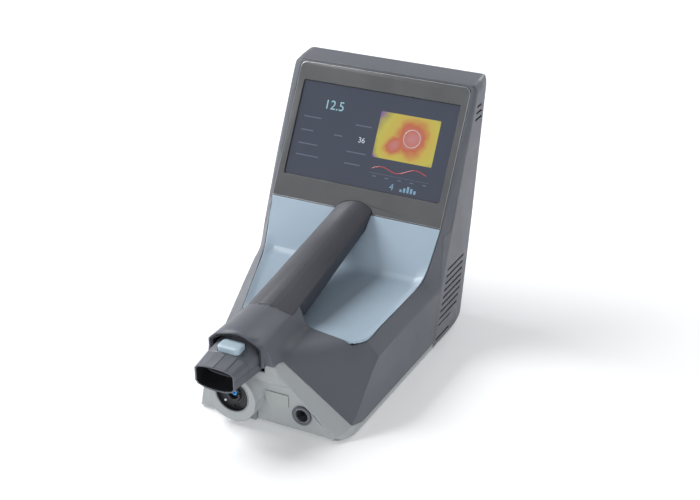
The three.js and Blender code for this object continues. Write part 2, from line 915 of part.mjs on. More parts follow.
const handleOuter = handleSolid(0, handleEndY);
const handleInner = handleSolid(-handleWall, handleEndY + handleWall);
const handleClearance = handleSolid(seatGap, handleEndY + handleWall);
const handleTube = handleOuter.subtract(handleInner);
const handleReach = crownRadius * 2;
const handleCover = handleTube.intersect(prismAcross(handleSplitOutline(0), -handleReach, handleReach));
const handleGrip = handleTube.subtract(
  prismAcross(handleSplitOutline(-seatGap), -handleReach, handleReach),
);

// Housing shell, cut by the passage of the handpiece and then parted along its seams.
const dockHalfWidth = noseHalfWidth - shellWall;
const dockLowZ = gripLowZ - dockClearance;

function dockOutline(half, crownDrop) {
  const shape = new THREE.Shape();
  const steps = smoothSteps * 2;
  shape.moveTo(-half, dockLowZ);
  shape.lineTo(half, dockLowZ);
  for (let i = 0; i <= steps; i += 1) {
    const x = half * Math.cos((i / steps) * Math.PI);
    shape.lineTo(x, archZ(x, noseFrontY) - crownDrop);
  }
  shape.closePath();
  return shape;
}

const outerBody = union(bodySolid(0), noseSolid());
const innerBody = bodySolid(shellWall);
const dockPassage = prismForward(
  dockOutline(dockHalfWidth, shellWall), -cutOverrun, frontY + shellWall * 2,
);
const baseDockPassage = prismForward(
  outline(handpieceSection(
    gripStartY, gripHalfWidth, gripTopZ, gripSideTopZ, gripSideLowZ, gripLowZ, -dockClearance,
  ).map(([x, , z]) => [x, z])), -cutOverrun, frontY + shellWall * 2,
);

function seamOutline(shift) {
  const bandFootY = bezelFootY + ventStepY * 3;
  const topSeamY = bezelFootY + bezelLength * bezelSin + topFrontDepth;
  const bandTopZ = topZ(topSeamY) - topEdgeDrop;
  return outline([
    [seamFootY + shift, -cutOverrun], [seamFootY + shift, 0], [seamKneeY + shift, seamKneeZ],
    [bezelFootY + shift, bezelFootZ - topEdgeDrop], [bandFootY + shift, bezelFootZ - topEdgeDrop / 2],
    [topSeamY - topFrontLift + shift, bandTopZ], [topSeamY + shift, bodyTopZ + cutOverrun],
    [headBackY + cutOverrun, bodyTopZ + cutOverrun], [headBackY + cutOverrun, -cutOverrun],
  ]);
}

function rearRegion(shift) {
  return prismAcross(seamOutline(shift), -wallBottomX - cutOverrun, wallBottomX + cutOverrun);
}

// The light base: a low rim all round, the front wall, and a foot that tapers back along each side.
function baseRegion(grow) {
  const side = wallBottomX + cutOverrun;
  const rim = boxBetween([-side, -cutOverrun, -cutOverrun], [side, seamFootY + cutOverrun, baseRimZ + grow]);
  const frontSeamY = (x) => baseFrontSeamY + baseFrontSeamShare * x + grow;
  const front = prismUp(outline([
    [-baseLeftTopX - grow, -cutOverrun], [side, -cutOverrun], [side, frontSeamY(side)],
    [-baseLeftTopX - grow, frontSeamY(-baseLeftTopX)],
  ]), -cutOverrun, baseTopZ + grow);
  const rightFoot = prismAcross(outline([
    [0, 0], [baseDiagEndY + grow, 0], [baseDiagEndY + grow, baseRimZ],
    [baseDiagTurnY, baseDiagLowZ + grow], [0, baseDiagLowZ + grow],
  ]), 0, side);
  const leftFoot = prismAcross(outline([
    [0, 0], [baseLeftEndY + grow, 0], [baseLeftEndY + grow, baseRimZ],
    [baseLeftTurnY + grow, baseLeftLowZ + grow], [frontY + shellWall + grow, baseTopZ + grow],
    [0, baseTopZ + grow],
  ]), -side, -baseLeftTopX);
  return union(rim, front, rightFoot, leftFoot);
}

// A ledge inside the display opening carries the bezel.
const ledgeDepth = bezelThickness + seatGap;
const bezelLedge = prismBehindFace(bezelOutline(shellWall / 2), ledgeDepth, ledgeDepth + shellWall)
  .subtract(prismBehindFace(bezelOutline(-ledgeWidth), 0, ledgeDepth + shellWall * 2));
const trayCut = prismUp(openingOutline(seamGap), trayFloorZ - trayThickness * 3, bodyTopZ);
const bezelCut = prismBehindFace(bezelOutline(seamGap), -cutOverrun, ledgeDepth, smoothSteps / 2);
const housingShell = cut(outerBody, innerBody, dockPassage);
const frontHousing = union(
  cut(housingShell, bezelCut, trayCut),
  bezelLedge.intersect(outerBody).subtract(trayCut),
).subtract(handleClearance).subtract(rearRegion(-seamGap)).subtract(baseRegion(seamGap));

// Base: floor and front wall, with the recess for label and port, and the boss in front.
function recessOutline(grow) {
  return roundedOutline([
    [recessLeftX, -cutOverrun], [recessLeftX, recessTopZ + grow],
    [recessTopRightX, recessTopZ + grow, recessCornerRadius],
    [recessDiagX + grow / 2, recessDiagZ + grow, recessCornerRadius],
    [recessLowX, recessLowZ + grow, recessCornerRadius],
    [recessEndX, recessFloorZ + grow], [recessEndX, -cutOverrun],
  ]);
}

const recessFaceY = frontY + recessDepth;
const recessBack = prismForward(recessOutline(shellWall), frontY, recessFaceY + shellWall)
  .intersect(outerBody);
const recessCut = prismForward(recessOutline(0), -cutOverrun, recessFaceY);
const boss = turned([
  [0, 0], [bossRadius - bossEdge, 0], [bossRadius, bossEdge], [bossRadius, recessFaceY + shellWall / 2],
  [0, recessFaceY + shellWall / 2],
], bossX, 0, bossZ, roundSteps * 2);
const socketBoreRadius = socketRadius + socketRingWidth + seatGap;
const socketBore = turned(rod(socketBoreRadius, -cutOverrun, frontY * 4), socketX, 0, socketZ);
const portBore = turned(rod(portInnerRadius + portFlange + seatGap, 0, frontY * 4), portX, 0, portZ);

function footPlaces() {
  return [
    ['foot_front_right', footSideX, frontFootY],
    ['foot_front_left', -frontFootLeftX, frontFootY],
    ['foot_rear_right', footSideX, rearFootInsetY],
    ['foot_rear_left', -footSideX, rearFootInsetY],
  ];
}

function footSeat(x, y) {
  const cup = turnedUp(rod(footRadius + seatGap + shellWall / 2, 0, footSink + shellWall), x, y, 0);
  const hole = turnedUp(rod(footRadius + seatGap, -cutOverrun, footSink), x, y, 0);
  return { cup, hole };
}

function screwPlaces() {
  return [
    ['screw_front_right', frontScrewRightX, frontScrewY],
    ['screw_front_left', -frontScrewLeftX, frontScrewY],
    ['screw_middle_right', midScrewX, midScrewY],
    ['screw_middle_left', -midScrewLeftX, midScrewY],
  ];
}

function screwSeat(x, y) {
  const post = turnedUp(rod(screwBossRadius, 0, screwBossHeight), x, y, 0, smoothSteps * 2);
  const hole = union(
    turnedUp(rod(screwHeadRadius + seatGap, -cutOverrun, screwHeadHeight), x, y, 0, smoothSteps * 2),
    turnedUp(rod(screwRadius + seatGap, 0, screwLength + screwHeadHeight * 2), x, y, 0, smoothSteps * 2),
  );
  return { post, hole };
}

const baseFeet = footPlaces().slice(0, 2).map(([, x, y]) => footSeat(x, y));
const baseScrews = screwPlaces().map(([, x, y]) => screwSeat(x, y));
let baseShell = union(cut(housingShell, recessCut), cut(recessBack, recessCut))
  .intersect(baseRegion(0))
  .subtract(rearRegion(-seamGap));
baseShell = union(baseShell, boss, ...baseFeet.map((seat) => seat.cup), ...baseScrews.map((s) => s.post));
baseShell = cut(
  baseShell, socketBore, portBore, baseDockPassage,
  ...baseFeet.map((seat) => seat.hole), ...baseScrews.map((seat) => seat.hole),
);

// Rear cover with its vents, fan grille and the two openings low in its back.
const wallUp = new THREE.Vector3(0, rearLeanShare, 1).normalize();
const wallRight = new THREE.Vector3(-1, 0, 0);
const wallOut = new THREE.Vector3().crossVectors(wallRight, wallUp);

function onRearWall(shape, x, z, inside, outside, steps) {
  const origin = new THREE.Vector3(x, rearFootY + rearLeanShare * z, z);
  return prism(shape, wallRight, wallUp, origin, inside, outside, steps);
}

function sideVents() {
  const field = prismAcross(sideOutline(ventBackMargin), -wallBottomX * 2, wallBottomX * 2);
  const slots = [];
  for (let i = 0; i < ventCount; i += 1) {
    const z = ventLowZ + ventPitch * i;
    const y = ventLowY + ventStepY * i;
    slots.push(boxBetween(
      [-wallBottomX * 2, y, z - ventHeight / 2], [wallBottomX * 2, ventEndY, z + ventHeight / 2],
    ));
  }
  const lower = slots.reduce((joined, slot) => joined.add(slot)).intersect(union(
    field,
    boxBetween([-wallBottomX * 2, 0, 0], [wallBottomX * 2, ventFirstEndY, ventLowZ + ventPitch / 2]),
  ));
  const upper = [];
  for (let i = 0; i < upperVentCount; i += 1) {
    const z = upperVentZ + upperVentPitch * i;
    upper.push(boxBetween(
      [-wallBottomX * 2, upperVentY + upperVentStepY * i, z - ventHeight / 2],
      [wallBottomX * 2, upperVentEndY, z + ventHeight / 2],
    ));
  }
  const all = [lower, ...upper].reduce((joined, slot) => joined.add(slot));
  const middle = boxBetween(
    [-wallBottomX * ventCoreShare, 0, -cutOverrun], [wallBottomX * ventCoreShare, headBackY, bodyTopZ],
  );
  return all.subtract(middle);
}

function fanGrille() {
  const slots = [];
  for (let i = 0; i < grilleSlotCount; i += 1) {
    const offset = (i - (grilleSlotCount - 1) / 2) * grilleSlotPitch;
    const half = Math.sqrt((fanBore / 2) ** 2 - offset ** 2);
    const shape = roundedRectangle(0, offset, half * 2, grilleSlotHeight, grilleSlotHeight / 3);
    slots.push(onRearWall(shape, fanX, fanZ, -shellWall * 3, cutOverrun));
  }
  return slots.reduce((joined, slot) => joined.add(slot));
}

const rearFeet = footPlaces().slice(2).map(([, x, y]) => footSeat(x, y));
const inletHole = onRearWall(
  roundedRectangle(0, 0, inletWidth, inletHeight, inletWall), inletX, inletZ, -cutOverrun, cutOverrun,
);
const switchHole = onRearWall(
  roundedRectangle(0, 0, switchWidth, switchPlateHeight, inletWall), switchX, switchZ,
  -cutOverrun, cutOverrun,
);
let rearCover = cut(outerBody, innerBody).intersect(rearRegion(0)).subtract(bezelCut);
rearCover = union(rearCover, ...rearFeet.map((seat) => seat.cup));
rearCover = cut(
  rearCover, sideVents(), fanGrille(), inletHole, switchHole, ...rearFeet.map((seat) => seat.hole),
);

// Tray: a scoop that dips behind the nose and climbs to the foot of the display.
function trayFloor(y) {
  const front = clampShare(1 - (y - trayFloorFrontY) / trayFloorReach);
  const dip = trayFloorZ + (rimZ - trayFloorZ) * front * front;
  return smoothMax(dip, bezelFootZ + (y - bezelFootY) * trayRiseShare, trayFoldBlend);
}

function trayTop(x, y) {
  const edge = Math.min(rightRimX(y) - x, x - leftRimXAt(y));
  const away = clampShare(edge / traySideReach);
  const eased = away * away * (3 - 2 * away);
  const rim = rimProfileZ(y);
  return mix(rim, Math.min(trayFloor(y), rim), eased);
}

const trayEdgeShares = [0, 0.02, 0.045, 0.07, 0.15, 0.5, 0.85, 0.93, 0.955, 0.98, 1];
const trayRowShares = [0, 0.06, 0.13, 0.21, 0.3, 0.42, 0.56, 0.68, 0.76, 0.82, 0.87, 0.91, 0.95, 1];

function traySolid() {
  const frontRow = openingCornerY - openingCornerRadius;
  const sections = trayRowShares.map((share) => {
    const y = mix(frontRow, bezelFootY - seatGap, share);
    const [left, right] = [leftRimXAt(y) - trayThickness, rightRimX(y) + trayThickness];
    const top = trayEdgeShares.map((at) => {
      const x = mix(left, right, at);
      return [x, y, trayTop(x, y)];
    });
    const slope = (trayFloor(y + seatGap) - trayFloor(y - seatGap)) / (seatGap * 2);
    const drop = trayThickness * Math.sqrt(1 + slope * slope);
    const under = top.map(([x, , z]) => [x, y, z - drop]);
    return [...top, ...under.reverse()];
  });
  return loft(sections).intersect(prismUp(openingOutline(-seatGap), 0, bodyTopZ));
}

const tray = traySolid().subtract(handleClearance).intersect(
  boxBetween([-wallBottomX, 0, 0], [wallBottomX, bezelFootY - seatGap, bodyTopZ]),
);

// Display: bezel with a rebate for the glass, the panel behind it and its driver board.
const windowMiddle = bezelFootBorder + windowHeight / 2;

function windowOutline(grow) {
  return roundedRectangle(
    0, windowMiddle, windowWidth + grow * 2, windowHeight + grow * 2, windowCornerRadius + grow / 2,
  );
}

const glassDepth = bezelThickness - windowRebate + seatGap;
const bezel = cut(
  prismBehindFace(bezelOutline(0), 0, bezelThickness, smoothSteps / 2),
  prismBehindFace(windowOutline(0), -cutOverrun, cutOverrun),
  prismBehindFace(windowOutline(windowRebateMargin), bezelThickness - windowRebate, cutOverrun),
  handleClearance,
);
const glass = prismBehindFace(
  windowOutline(windowRebateMargin - seatGap), glassDepth, glassDepth + glassThickness,
);
const panelDepth = glassDepth + glassThickness + seatGap;
const panel = prismBehindFace(
  windowOutline(windowRebateMargin - seatGap), panelDepth, panelDepth + panelThickness,
);
const boardDepth = panelDepth + panelThickness + standoffLength + seatGap;

function displayBoard() {
  const board = prismBehindFace(
    roundedRectangle(0, windowMiddle, boardWidth, boardHeight, windowCornerRadius),
    boardDepth, boardDepth + boardThickness,
  );
  const stand = [-1, 1].flatMap((side) => [-1, 1].map((end) => prismBehindFace(
    roundedRectangle(
      side * (boardWidth / 2 - chipHeight * 3), windowMiddle + end * (boardHeight / 2 - chipHeight * 3),
      chipHeight * 2, chipHeight * 2, chipHeight / 2,
    ), boardDepth - standoffLength, boardDepth + boardThickness,
  )));
  const chips = [-1, 0, 1].map((side) => prismBehindFace(
    roundedRectangle(side * chipSize * 2, windowMiddle, chipSize, chipSize, chipHeight / 2),
    boardDepth + boardThickness / 2, boardDepth + boardThickness + chipHeight,
  ));
  return union(board, ...stand, ...chips);
}

// Handpiece: a flattened barrel that swells from the open mouth to the grip inside the dock.
function handpieceSection(y, half, top, sideTop, sideLow, low, inset) {
  const points = [];
  const steps = smoothSteps;
  const h = half - inset;
  for (let i = 0; i <= steps; i += 1) {
    const angle = Math.PI * (1 - i / steps);
    points.push([h * Math.cos(angle), y, sideTop + (top - sideTop - inset) * Math.sin(angle)]);
  }
  for (let i = 0; i <= steps; i += 1) {
    const angle = Math.PI * (i / steps);
    points.push([h * Math.cos(angle), y, sideLow - (sideLow - low - inset) * Math.sin(angle)]);
  }
  return points;
}

function handpieceForm(inset, from, to) {
  const rows = [
    [mouthY, mouthHalfWidth, mouthTopZ, mouthSideTopZ, mouthSideLowZ, mouthLowZ],
    [nozzleEndY, neckHalfWidth, neckTopZ, neckSideTopZ, mouthSideLowZ, neckLowZ],
    [gripStartY, gripHalfWidth, shoulderTopZ, neckSideTopZ, gripSideLowZ, gripLowZ],
    [gripStartY + gripSwell, gripHalfWidth, gripTopZ, gripSideTopZ, gripSideLowZ, gripLowZ],
    [handpieceEndY, gripHalfWidth - gripTaper, gripTopZ - gripTaper, gripSideTopZ - gripTaper,
      gripSideLowZ, gripLowZ + gripTaper / 2],
  ];
  const lerpRow = (y) => {
    const next = Math.max(rows.findIndex((row) => row[0] >= y), 1);
    const [a, b] = [rows[next - 1], rows[next]];
    const share = (y - a[0]) / (b[0] - a[0]);
    return a.map((value, i) => (i === 0 ? y : mix(value, b[i], share)));
  };
  const between = rows.filter((row) => row[0] > from && row[0] < to);
  return loft([lerpRow(from), ...between, lerpRow(to)].map((row) => handpieceSection(...row, inset)));
}

const shellStartY = nozzleEndY + seamGap;
const nozzle = handpieceForm(0, mouthY, nozzleEndY).subtract(
  handpieceForm(nozzleWall, mouthY, nozzleEndY),
);
const handpieceTube = handpieceForm(0, shellStartY, handpieceEndY).subtract(
  handpieceForm(handpieceWall, shellStartY, handpieceEndY - handpieceWall),
);
const handpieceReach = gripHalfWidth * 2;

function buttonOutline(grow) {
  return roundedRectangle(
    0, buttonY, buttonWidth + grow * 2, buttonLength + grow * 2, buttonCornerRadius + grow,
  );
}

const buttonHole = prismUp(buttonOutline(seatGap), handpieceSplitZ, bodyTopZ, smoothSteps / 2);
const handpieceUpper = cut(
  handpieceTube,
  boxBetween([-handpieceReach, mouthY, 0], [handpieceReach, handpieceEndY * 2, handpieceSplitZ]),
  buttonHole,
);
const handpieceLower = handpieceTube.intersect(boxBetween(
  [-handpieceReach, mouthY, 0], [handpieceReach, handpieceEndY * 2, handpieceSplitZ - seatGap],
));

// Trigger: a cap with a soft crown that slides in its hole over a small switch on the optic barrel.
function triggerButton() {
  const cap = prismUp(
    buttonOutline(0), buttonBaseZ, buttonBaseZ + buttonHeight * 2, smoothSteps / 2,
  );
  const crown = turnedUp([
    [0, -buttonCrownRadius], [buttonCrownRadius * crownFootShare, -buttonCrownRadius * crownFootShare],
    ...crownShares.map((share) => [
      buttonCrownRadius * Math.cos(share * Math.PI / 2), buttonCrownRadius * Math.sin(share * Math.PI / 2),
    ]),
    [0, buttonCrownRadius],
  ], 0, buttonY, buttonBaseZ + buttonHeight - buttonCrownRadius, roundSteps);
  const wellHalf = switchSize / 2 + buttonWellMargin;
  const well = boxBetween(
    [-wellHalf, buttonY - wellHalf, 0],
    [wellHalf, buttonY + wellHalf, buttonBaseZ + buttonHeight - buttonWellRoof],
  );
  return cap.intersect(crown).subtract(well);
}

const barrelTopZ = opticZ + opticRadius;
const opticBarrel = turned([
  [lensRadius - lensSeat, 0], [opticRadius, 0], [opticRadius, opticLength],
  [lensRadius - lensSeat, opticLength], [lensRadius - lensSeat, lensThickness * 2],
  [lensRadius + seatGap, lensThickness * 2], [lensRadius + seatGap, lensThickness],
  [lensRadius - lensSeat, lensThickness], [lensRadius - lensSeat, 0],
], 0, opticFrontY, opticZ);
const opticLens = turned([
  [0, 0], [lensRadius - lensSeat * 2, 0], [lensRadius - lensSeat - seatGap, lensBulge],
  [lensRadius - lensSeat - seatGap, lensThickness], [0, lensThickness],
], 0, opticFrontY + lensThickness / 2, opticZ);
const switchTopZ = buttonBaseZ + buttonHeight - buttonWellRoof - buttonTravel - seatGap;
const switchBody = boxBetween(
  [-switchSize / 2, buttonY - switchSize / 2, barrelTopZ + seatGap],
  [switchSize / 2, buttonY + switchSize / 2, switchTopZ],
);

// Dock: a soft lining round the mouth of the nose, and a cradle on two legs under the handpiece.
function archBand(inset, width, front, back) {
  return prismForward(dockOutline(noseHalfWidth - inset, inset), front, back).subtract(
    prismForward(dockOutline(noseHalfWidth - inset - width, inset + width), front - seatGap, back + seatGap),
  );
}

const gasket = archBand(shellWall + seatGap, gasketWidth, noseFrontY + seamGap, noseFrontY + gasketLength)
  .intersect(boxBetween(
    [-noseHalfWidth, 0, baseTopZ + seatGap], [noseHalfWidth, headBackY, bodyTopZ],
  ));
const chassisZ = footSink + shellWall + seatGap;
const deckZ = chassisZ + chassisThickness;
const cradleBackY = handpieceEndY - cradleWall;
const cradleHalf = gripHalfWidth + dockClearance;
const cradleLowZ = gripLowZ - dockClearance;

function cradleOutline(grow) {
  return roundedOutline([
    [-cradleHalf - grow, cradleTopZ + cutOverrun * (grow > 0 ? 0 : 1)],
    [-cradleHalf - grow, cradleLowZ - grow, cradleCorner + grow],
    [cradleHalf + grow, cradleLowZ - grow, cradleCorner + grow],
    [cradleHalf + grow, cradleTopZ + cutOverrun * (grow > 0 ? 0 : 1)],
  ]);
}

function dockCradle() {
  const trough = prismForward(cradleOutline(cradleWall), cradleFrontY, cradleBackY)
    .subtract(prismForward(cradleOutline(0), 0, headBackY));
  const legFootZ = deckZ + seatGap;
  const legs = [-1, 1].map((side) => boxBetween(
    [side * cradleLegX - cradleWall / 2, chassisFrontY, legFootZ],
    [side * cradleLegX + cradleWall / 2, cradleBackY, cradleLowZ - cradleWall / 2],
  ));
  const flange = boxBetween(
    [-cradleLegX - cradleWall / 2, chassisFrontY, legFootZ],
    [cradleLegX + cradleWall / 2, cradleBackY, legFootZ + cradleWall],
  );
  return union(trough, ...legs, flange);
}

// Socket in the boss: ring, insulator with a raised core, ferrule and contact.
const socketRing = turned([
  [socketRadius, -socketRingProud], [socketRadius + socketRingWidth, -socketRingProud],
  [socketRadius + socketRingWidth, socketRingLength], [socketRadius, socketRingLength],
  [socketRadius, -socketRingProud],
], socketX, 0, socketZ);
const socketOuter = socketRadius + socketRingWidth;
const socketFloorY = socketDepth - socketFloorThickness;
const ferruleHole = ferruleRadius + seatGap;
const socketBody = turned([
  [socketRadius, socketRingLength + seatGap], [socketOuter, socketRingLength + seatGap],
  [socketOuter, socketDepth], [ferruleHole, socketDepth],
  [ferruleHole, socketDepth - socketCoreLength], [socketCoreRadius, socketDepth - socketCoreLength],
  [socketCoreRadius, socketFloorY], [socketRadius, socketFloorY],
  [socketRadius, socketRingLength + seatGap],
], socketX, 0, socketZ);
const ferruleFrontY = socketDepth - socketCoreLength - ferruleProud;
const socketFerrule = turned([
  [ferruleBore, 0], [ferruleRadius, 0], [ferruleRadius, ferruleLength], [ferruleBore, ferruleLength],
  [ferruleBore, 0],
], socketX, ferruleFrontY, socketZ, smoothSteps * 3);
const contactX = socketX + contactReach * Math.cos(contactAngle * degree);
const contactZ = socketZ + contactReach * Math.sin(contactAngle * degree);
const socketPin = turned(
  rod(contactRadius, -contactLength, -seatGap), contactX, socketFloorY, contactZ, smoothSteps * 2,
);

// Second port on the recess face, and the bare label plate beside the boss.
const portFrontY = recessFaceY - portProud;
const portShell = turned([
  [portInnerRadius, 0], [portOuterRadius - portFlange / 2, 0], [portOuterRadius, portFlange / 2],
  [portOuterRadius, portProud - seatGap], [portInnerRadius + portFlange, portProud - seatGap],
  [portInnerRadius + portFlange, portDepth], [portInnerRadius, portDepth], [portInnerRadius, 0],
], portX, portFrontY, portZ);

function portInsert() {
  const disc = turned(
    rod(portInnerRadius - seatGap, 0, portInsertThickness), portX,
    portFrontY + portDepth - portInsertThickness * 2, portZ,
  );
  const pins = [];
  for (let i = 0; i < portPinCount; i += 1) {
    const angle = ((i + 0.5) / portPinCount) * Math.PI * 2;
    pins.push(turned(
      rod(portPinRadius, -portPinLength, portInsertThickness / 2),
      portX + portPinCircle * Math.cos(angle), portFrontY + portDepth - portInsertThickness * 2,
      portZ + portPinCircle * Math.sin(angle), smoothSteps,
    ));
  }
  return union(disc, ...pins);
}

const labelPlate = prismForward(
  roundedRectangle(labelX, labelZ, labelWidth, labelHeight, labelCornerRadius),
  recessFaceY - labelThickness - seatGap, recessFaceY - seatGap,
);

// Inside: chassis with an upright that carries the handle's bar, and the units on it.
const uprightTopZ = handleLowZ(handleEndY) + handleWall + handleBarHeight;

function chassisPlate() {
  const deck = boxBetween(
    [-chassisLeftX, chassisFrontY, chassisZ], [chassisRightX, chassisBackY, deckZ],
  );
  const side = outline([
    [chassisBackY - chassisThickness, chassisZ], [chassisBackY, chassisZ],
    [uprightY + chassisThickness, uprightFootZ], [uprightY + chassisThickness, uprightTopZ],
    [uprightY, uprightTopZ], [uprightY, uprightFootZ + chassisThickness],
    [chassisBackY - chassisThickness, deckZ],
  ]);
  return union(deck, prismAcross(side, -uprightHalfWidth, uprightHalfWidth));
}

const barFrontY = openingFrontY + handleWall * 2;
const barLow = (y) => handleLowZ(y) + handleWall + seatGap * 1.5;
const handleBar = prismAcross(outline([
  [barFrontY, barLow(barFrontY)], [uprightY - seatGap, barLow(uprightY - seatGap)],
  [uprightY - seatGap, barLow(uprightY - seatGap) + handleBarHeight],
  [barFrontY, barLow(barFrontY) + handleBarHeight],
]), -handleBarWidth / 2, handleBarWidth / 2);

function onDeck(lowX, lowY, width, length, height, z = deckZ + seatGap) {
  return boxBetween([lowX, lowY, z], [lowX + width, lowY + length, z + height]);
}

function powerSupply() {
  const [x, y] = [supplyX - supplyWidth / 2, supplyY - supplyLength / 2];
  const floor = onDeck(x, y, supplyWidth, supplyLength, supplySheet);
  const walls = [0, supplyWidth - supplySheet].map((at) => (
    onDeck(x + at, y, supplySheet, supplyLength, supplyHeight)
  ));
  const end = onDeck(x, y + supplyLength - supplySheet, supplyWidth, supplySheet, supplyHeight);
  const core = onDeck(
    supplyX - transformerSize / 2, supplyY - transformerSize / 2, transformerSize, transformerSize,
    supplyHeight * supplyCoreShare,
  );
  const caps = [-1, 1].map((side) => turnedUp(
    rod(capRadius, 0, capHeight), supplyX + side * capRadius * 2, y + capRadius * 2,
    deckZ + seatGap, smoothSteps * 2,
  ));
  return union(floor, ...walls, end, core, ...caps);
}

function heatSink() {
  const [x, y] = [sinkX - sinkWidth / 2, sinkY - sinkLength / 2];
  const plate = onDeck(x, y, sinkWidth, sinkLength, sinkBase, deckZ + seatGap + sinkFinHeight);
  const fins = [];
  for (let i = 0; i < sinkFinCount; i += 1) {
    const at = (i / (sinkFinCount - 1)) * (sinkWidth - sinkFinThickness);
    fins.push(onDeck(x + at, y, sinkFinThickness, sinkLength, sinkFinHeight + sinkBase / 2));
  }
  return union(plate, ...fins);
}

const laserZ = deckZ + sinkFinHeight + sinkBase + seatGap * 2;

function laserModule() {
  const body = onDeck(
    sinkX - laserWidth / 2, sinkY - laserLength / 2, laserWidth, laserLength, laserHeight, laserZ,
  );
  const port = turned(
    rod(laserPortRadius, -laserPortLength, laserPortLength), sinkX, sinkY - laserLength / 2,
    laserZ + laserHeight / 2, smoothSteps * 2,
  );
  const lid = onDeck(
    sinkX - laserWidth / 2 + sinkFinThickness, sinkY - laserLength / 2 + sinkFinThickness,
    laserWidth - sinkFinThickness * 2, laserLength - sinkFinThickness * 2, sinkFinThickness,
    laserZ + laserHeight - sinkFinThickness / 2,
  );
  return union(body, port, lid);
}

function mainBoard() {
  const [x, y] = [supplyX - mainBoardWidth / 2, mainBoardY - mainBoardLength / 2];
  const boardZ = deckZ + seatGap + standoffLength;
  const board = onDeck(x, y, mainBoardWidth, mainBoardLength, boardThickness, boardZ);
  const stands = [0, 1].flatMap((i) => [0, 1].map((k) => turnedUp(
    rod(chipHeight * 1.5, 0, standoffLength + boardThickness / 2),
    mix(x + capRadius, x + mainBoardWidth - capRadius, i),
    mix(y + capRadius, y + mainBoardLength - capRadius, k), deckZ + seatGap, smoothSteps,
  )));
  const chips = mainChipShares.map((share) => onDeck(
    x + mainBoardWidth * share - chipSize / 2, mainBoardY - chipSize / 2, chipSize, chipSize,
    boardThickness + chipHeight, boardZ,
  ));
  const plug = onDeck(
    x + chipSize, y + chipHeight, chipSize * 2, chipSize / 2, connectorHeight, boardZ,
  );
  return union(board, ...stands, ...chips, plug);
}

// Fan behind the grille: frame with four spokes and a hub, and a rotor with pitched blades.
const fanGapBehind = shellWall + seatGap;

function fanFrame() {
  const square = roundedRectangle(0, 0, fanSize, fanSize, fanCorner);
  const hole = new THREE.Path();
  hole.absarc(0, 0, fanBore / 2, 0, Math.PI * 2, true);
  square.holes.push(hole);
  const frame = onRearWall(
    square, fanX, fanZ, -fanGapBehind - fanDepth, -fanGapBehind, smoothSteps,
  );
  const inner = -fanGapBehind - fanDepth;
  const spokes = [0, 1].map((i) => {
    const [w, h] = i === 0 ? [fanBore + fanCorner, fanSpokeWidth] : [fanSpokeWidth, fanBore + fanCorner];
    return onRearWall(
      roundedRectangle(0, 0, w, h, 0), fanX, fanZ, inner + seatGap, inner + fanStatorThickness - seatGap,
    );
  });
  const circle = new THREE.Shape();
  circle.absarc(0, 0, fanHubRadius, 0, Math.PI * 2);
  const hub = onRearWall(circle, fanX, fanZ, inner, inner + fanStatorThickness, smoothSteps);
  const pin = new THREE.Shape();
  pin.absarc(0, 0, fanAxleRadius, 0, Math.PI * 2);
  const axle = onRearWall(
    pin, fanX, fanZ, inner + seatGap, -fanGapBehind - fanStatorThickness, cornerSteps * 2,
  );
  return union(frame, ...spokes, hub, axle);
}

function fanRotor() {
  const ring = new THREE.Shape();
  ring.absarc(0, 0, fanHubRadius, 0, Math.PI * 2);
  const bore = new THREE.Path();
  bore.absarc(0, 0, fanAxleRadius + seatGap, 0, Math.PI * 2, true);
  ring.holes.push(bore);
  const low = -fanGapBehind - fanDepth + fanStatorThickness + seatGap;
  const high = -fanGapBehind - fanStatorThickness;
  const hub = onRearWall(ring, fanX, fanZ, low, high, smoothSteps);
  const origin = new THREE.Vector3(fanX, rearFootY + rearLeanShare * fanZ, fanZ);
  const bladeReach = fanBore / 2 - fanTipGap;
  const blades = [];
  for (let i = 0; i < fanBladeCount; i += 1) {
    const geometry = new THREE.BoxGeometry(
      bladeReach - fanHubRadius + fanCorner, fanBladeThickness, high - low - fanBladeThickness * 2,
    );
    geometry.translate((bladeReach + fanHubRadius - fanCorner) / 2, 0, 0);
    geometry.rotateX(fanBladePitch * degree);
    geometry.translate(0, 0, (high + low) / 2);
    geometry.rotateZ((i / fanBladeCount) * Math.PI * 2);
    geometry.applyMatrix4(new THREE.Matrix4().makeBasis(wallRight, wallUp, wallOut).setPosition(origin));
    blades.push(solidOf(geometry));
  }
  return union(hub, ...blades);
}

// Mains inlet and power switch, each with a flange outside the rear cover.
function mainsInlet() {
  const at = (shape, inside, outside) => onRearWall(shape, inletX, inletZ, inside, outside);
  const flange = at(roundedRectangle(
    0, 0, inletWidth + inletFlange * 2, inletHeight + inletFlange * 2, inletFlange,
  ), seatGap, inletFlangeThickness + seatGap);
  const housing = at(roundedRectangle(
    0, 0, inletWidth - seatGap * 2, inletHeight - seatGap * 2, inletWall,
  ), -inletDepth, inletFlangeThickness);
  const cavity = at(roundedRectangle(
    0, 0, inletWidth - inletWall * 2, inletHeight - inletWall * 2, inletWall,
  ), -inletCavityDepth, cutOverrun);
  const pins = [[-1, -1], [0, 1], [1, -1]].map(([across, up]) => at(roundedRectangle(
    across * inletPinSpread, up * inletPinDrop * 0.5, inletPinThickness, inletPinWidth,
    inletPinThickness / 4,
  ), -inletCavityDepth - inletWall, -inletCavityDepth + inletPinLength * 0.8));
  return union(cut(union(flange, housing), cavity), ...pins);
}

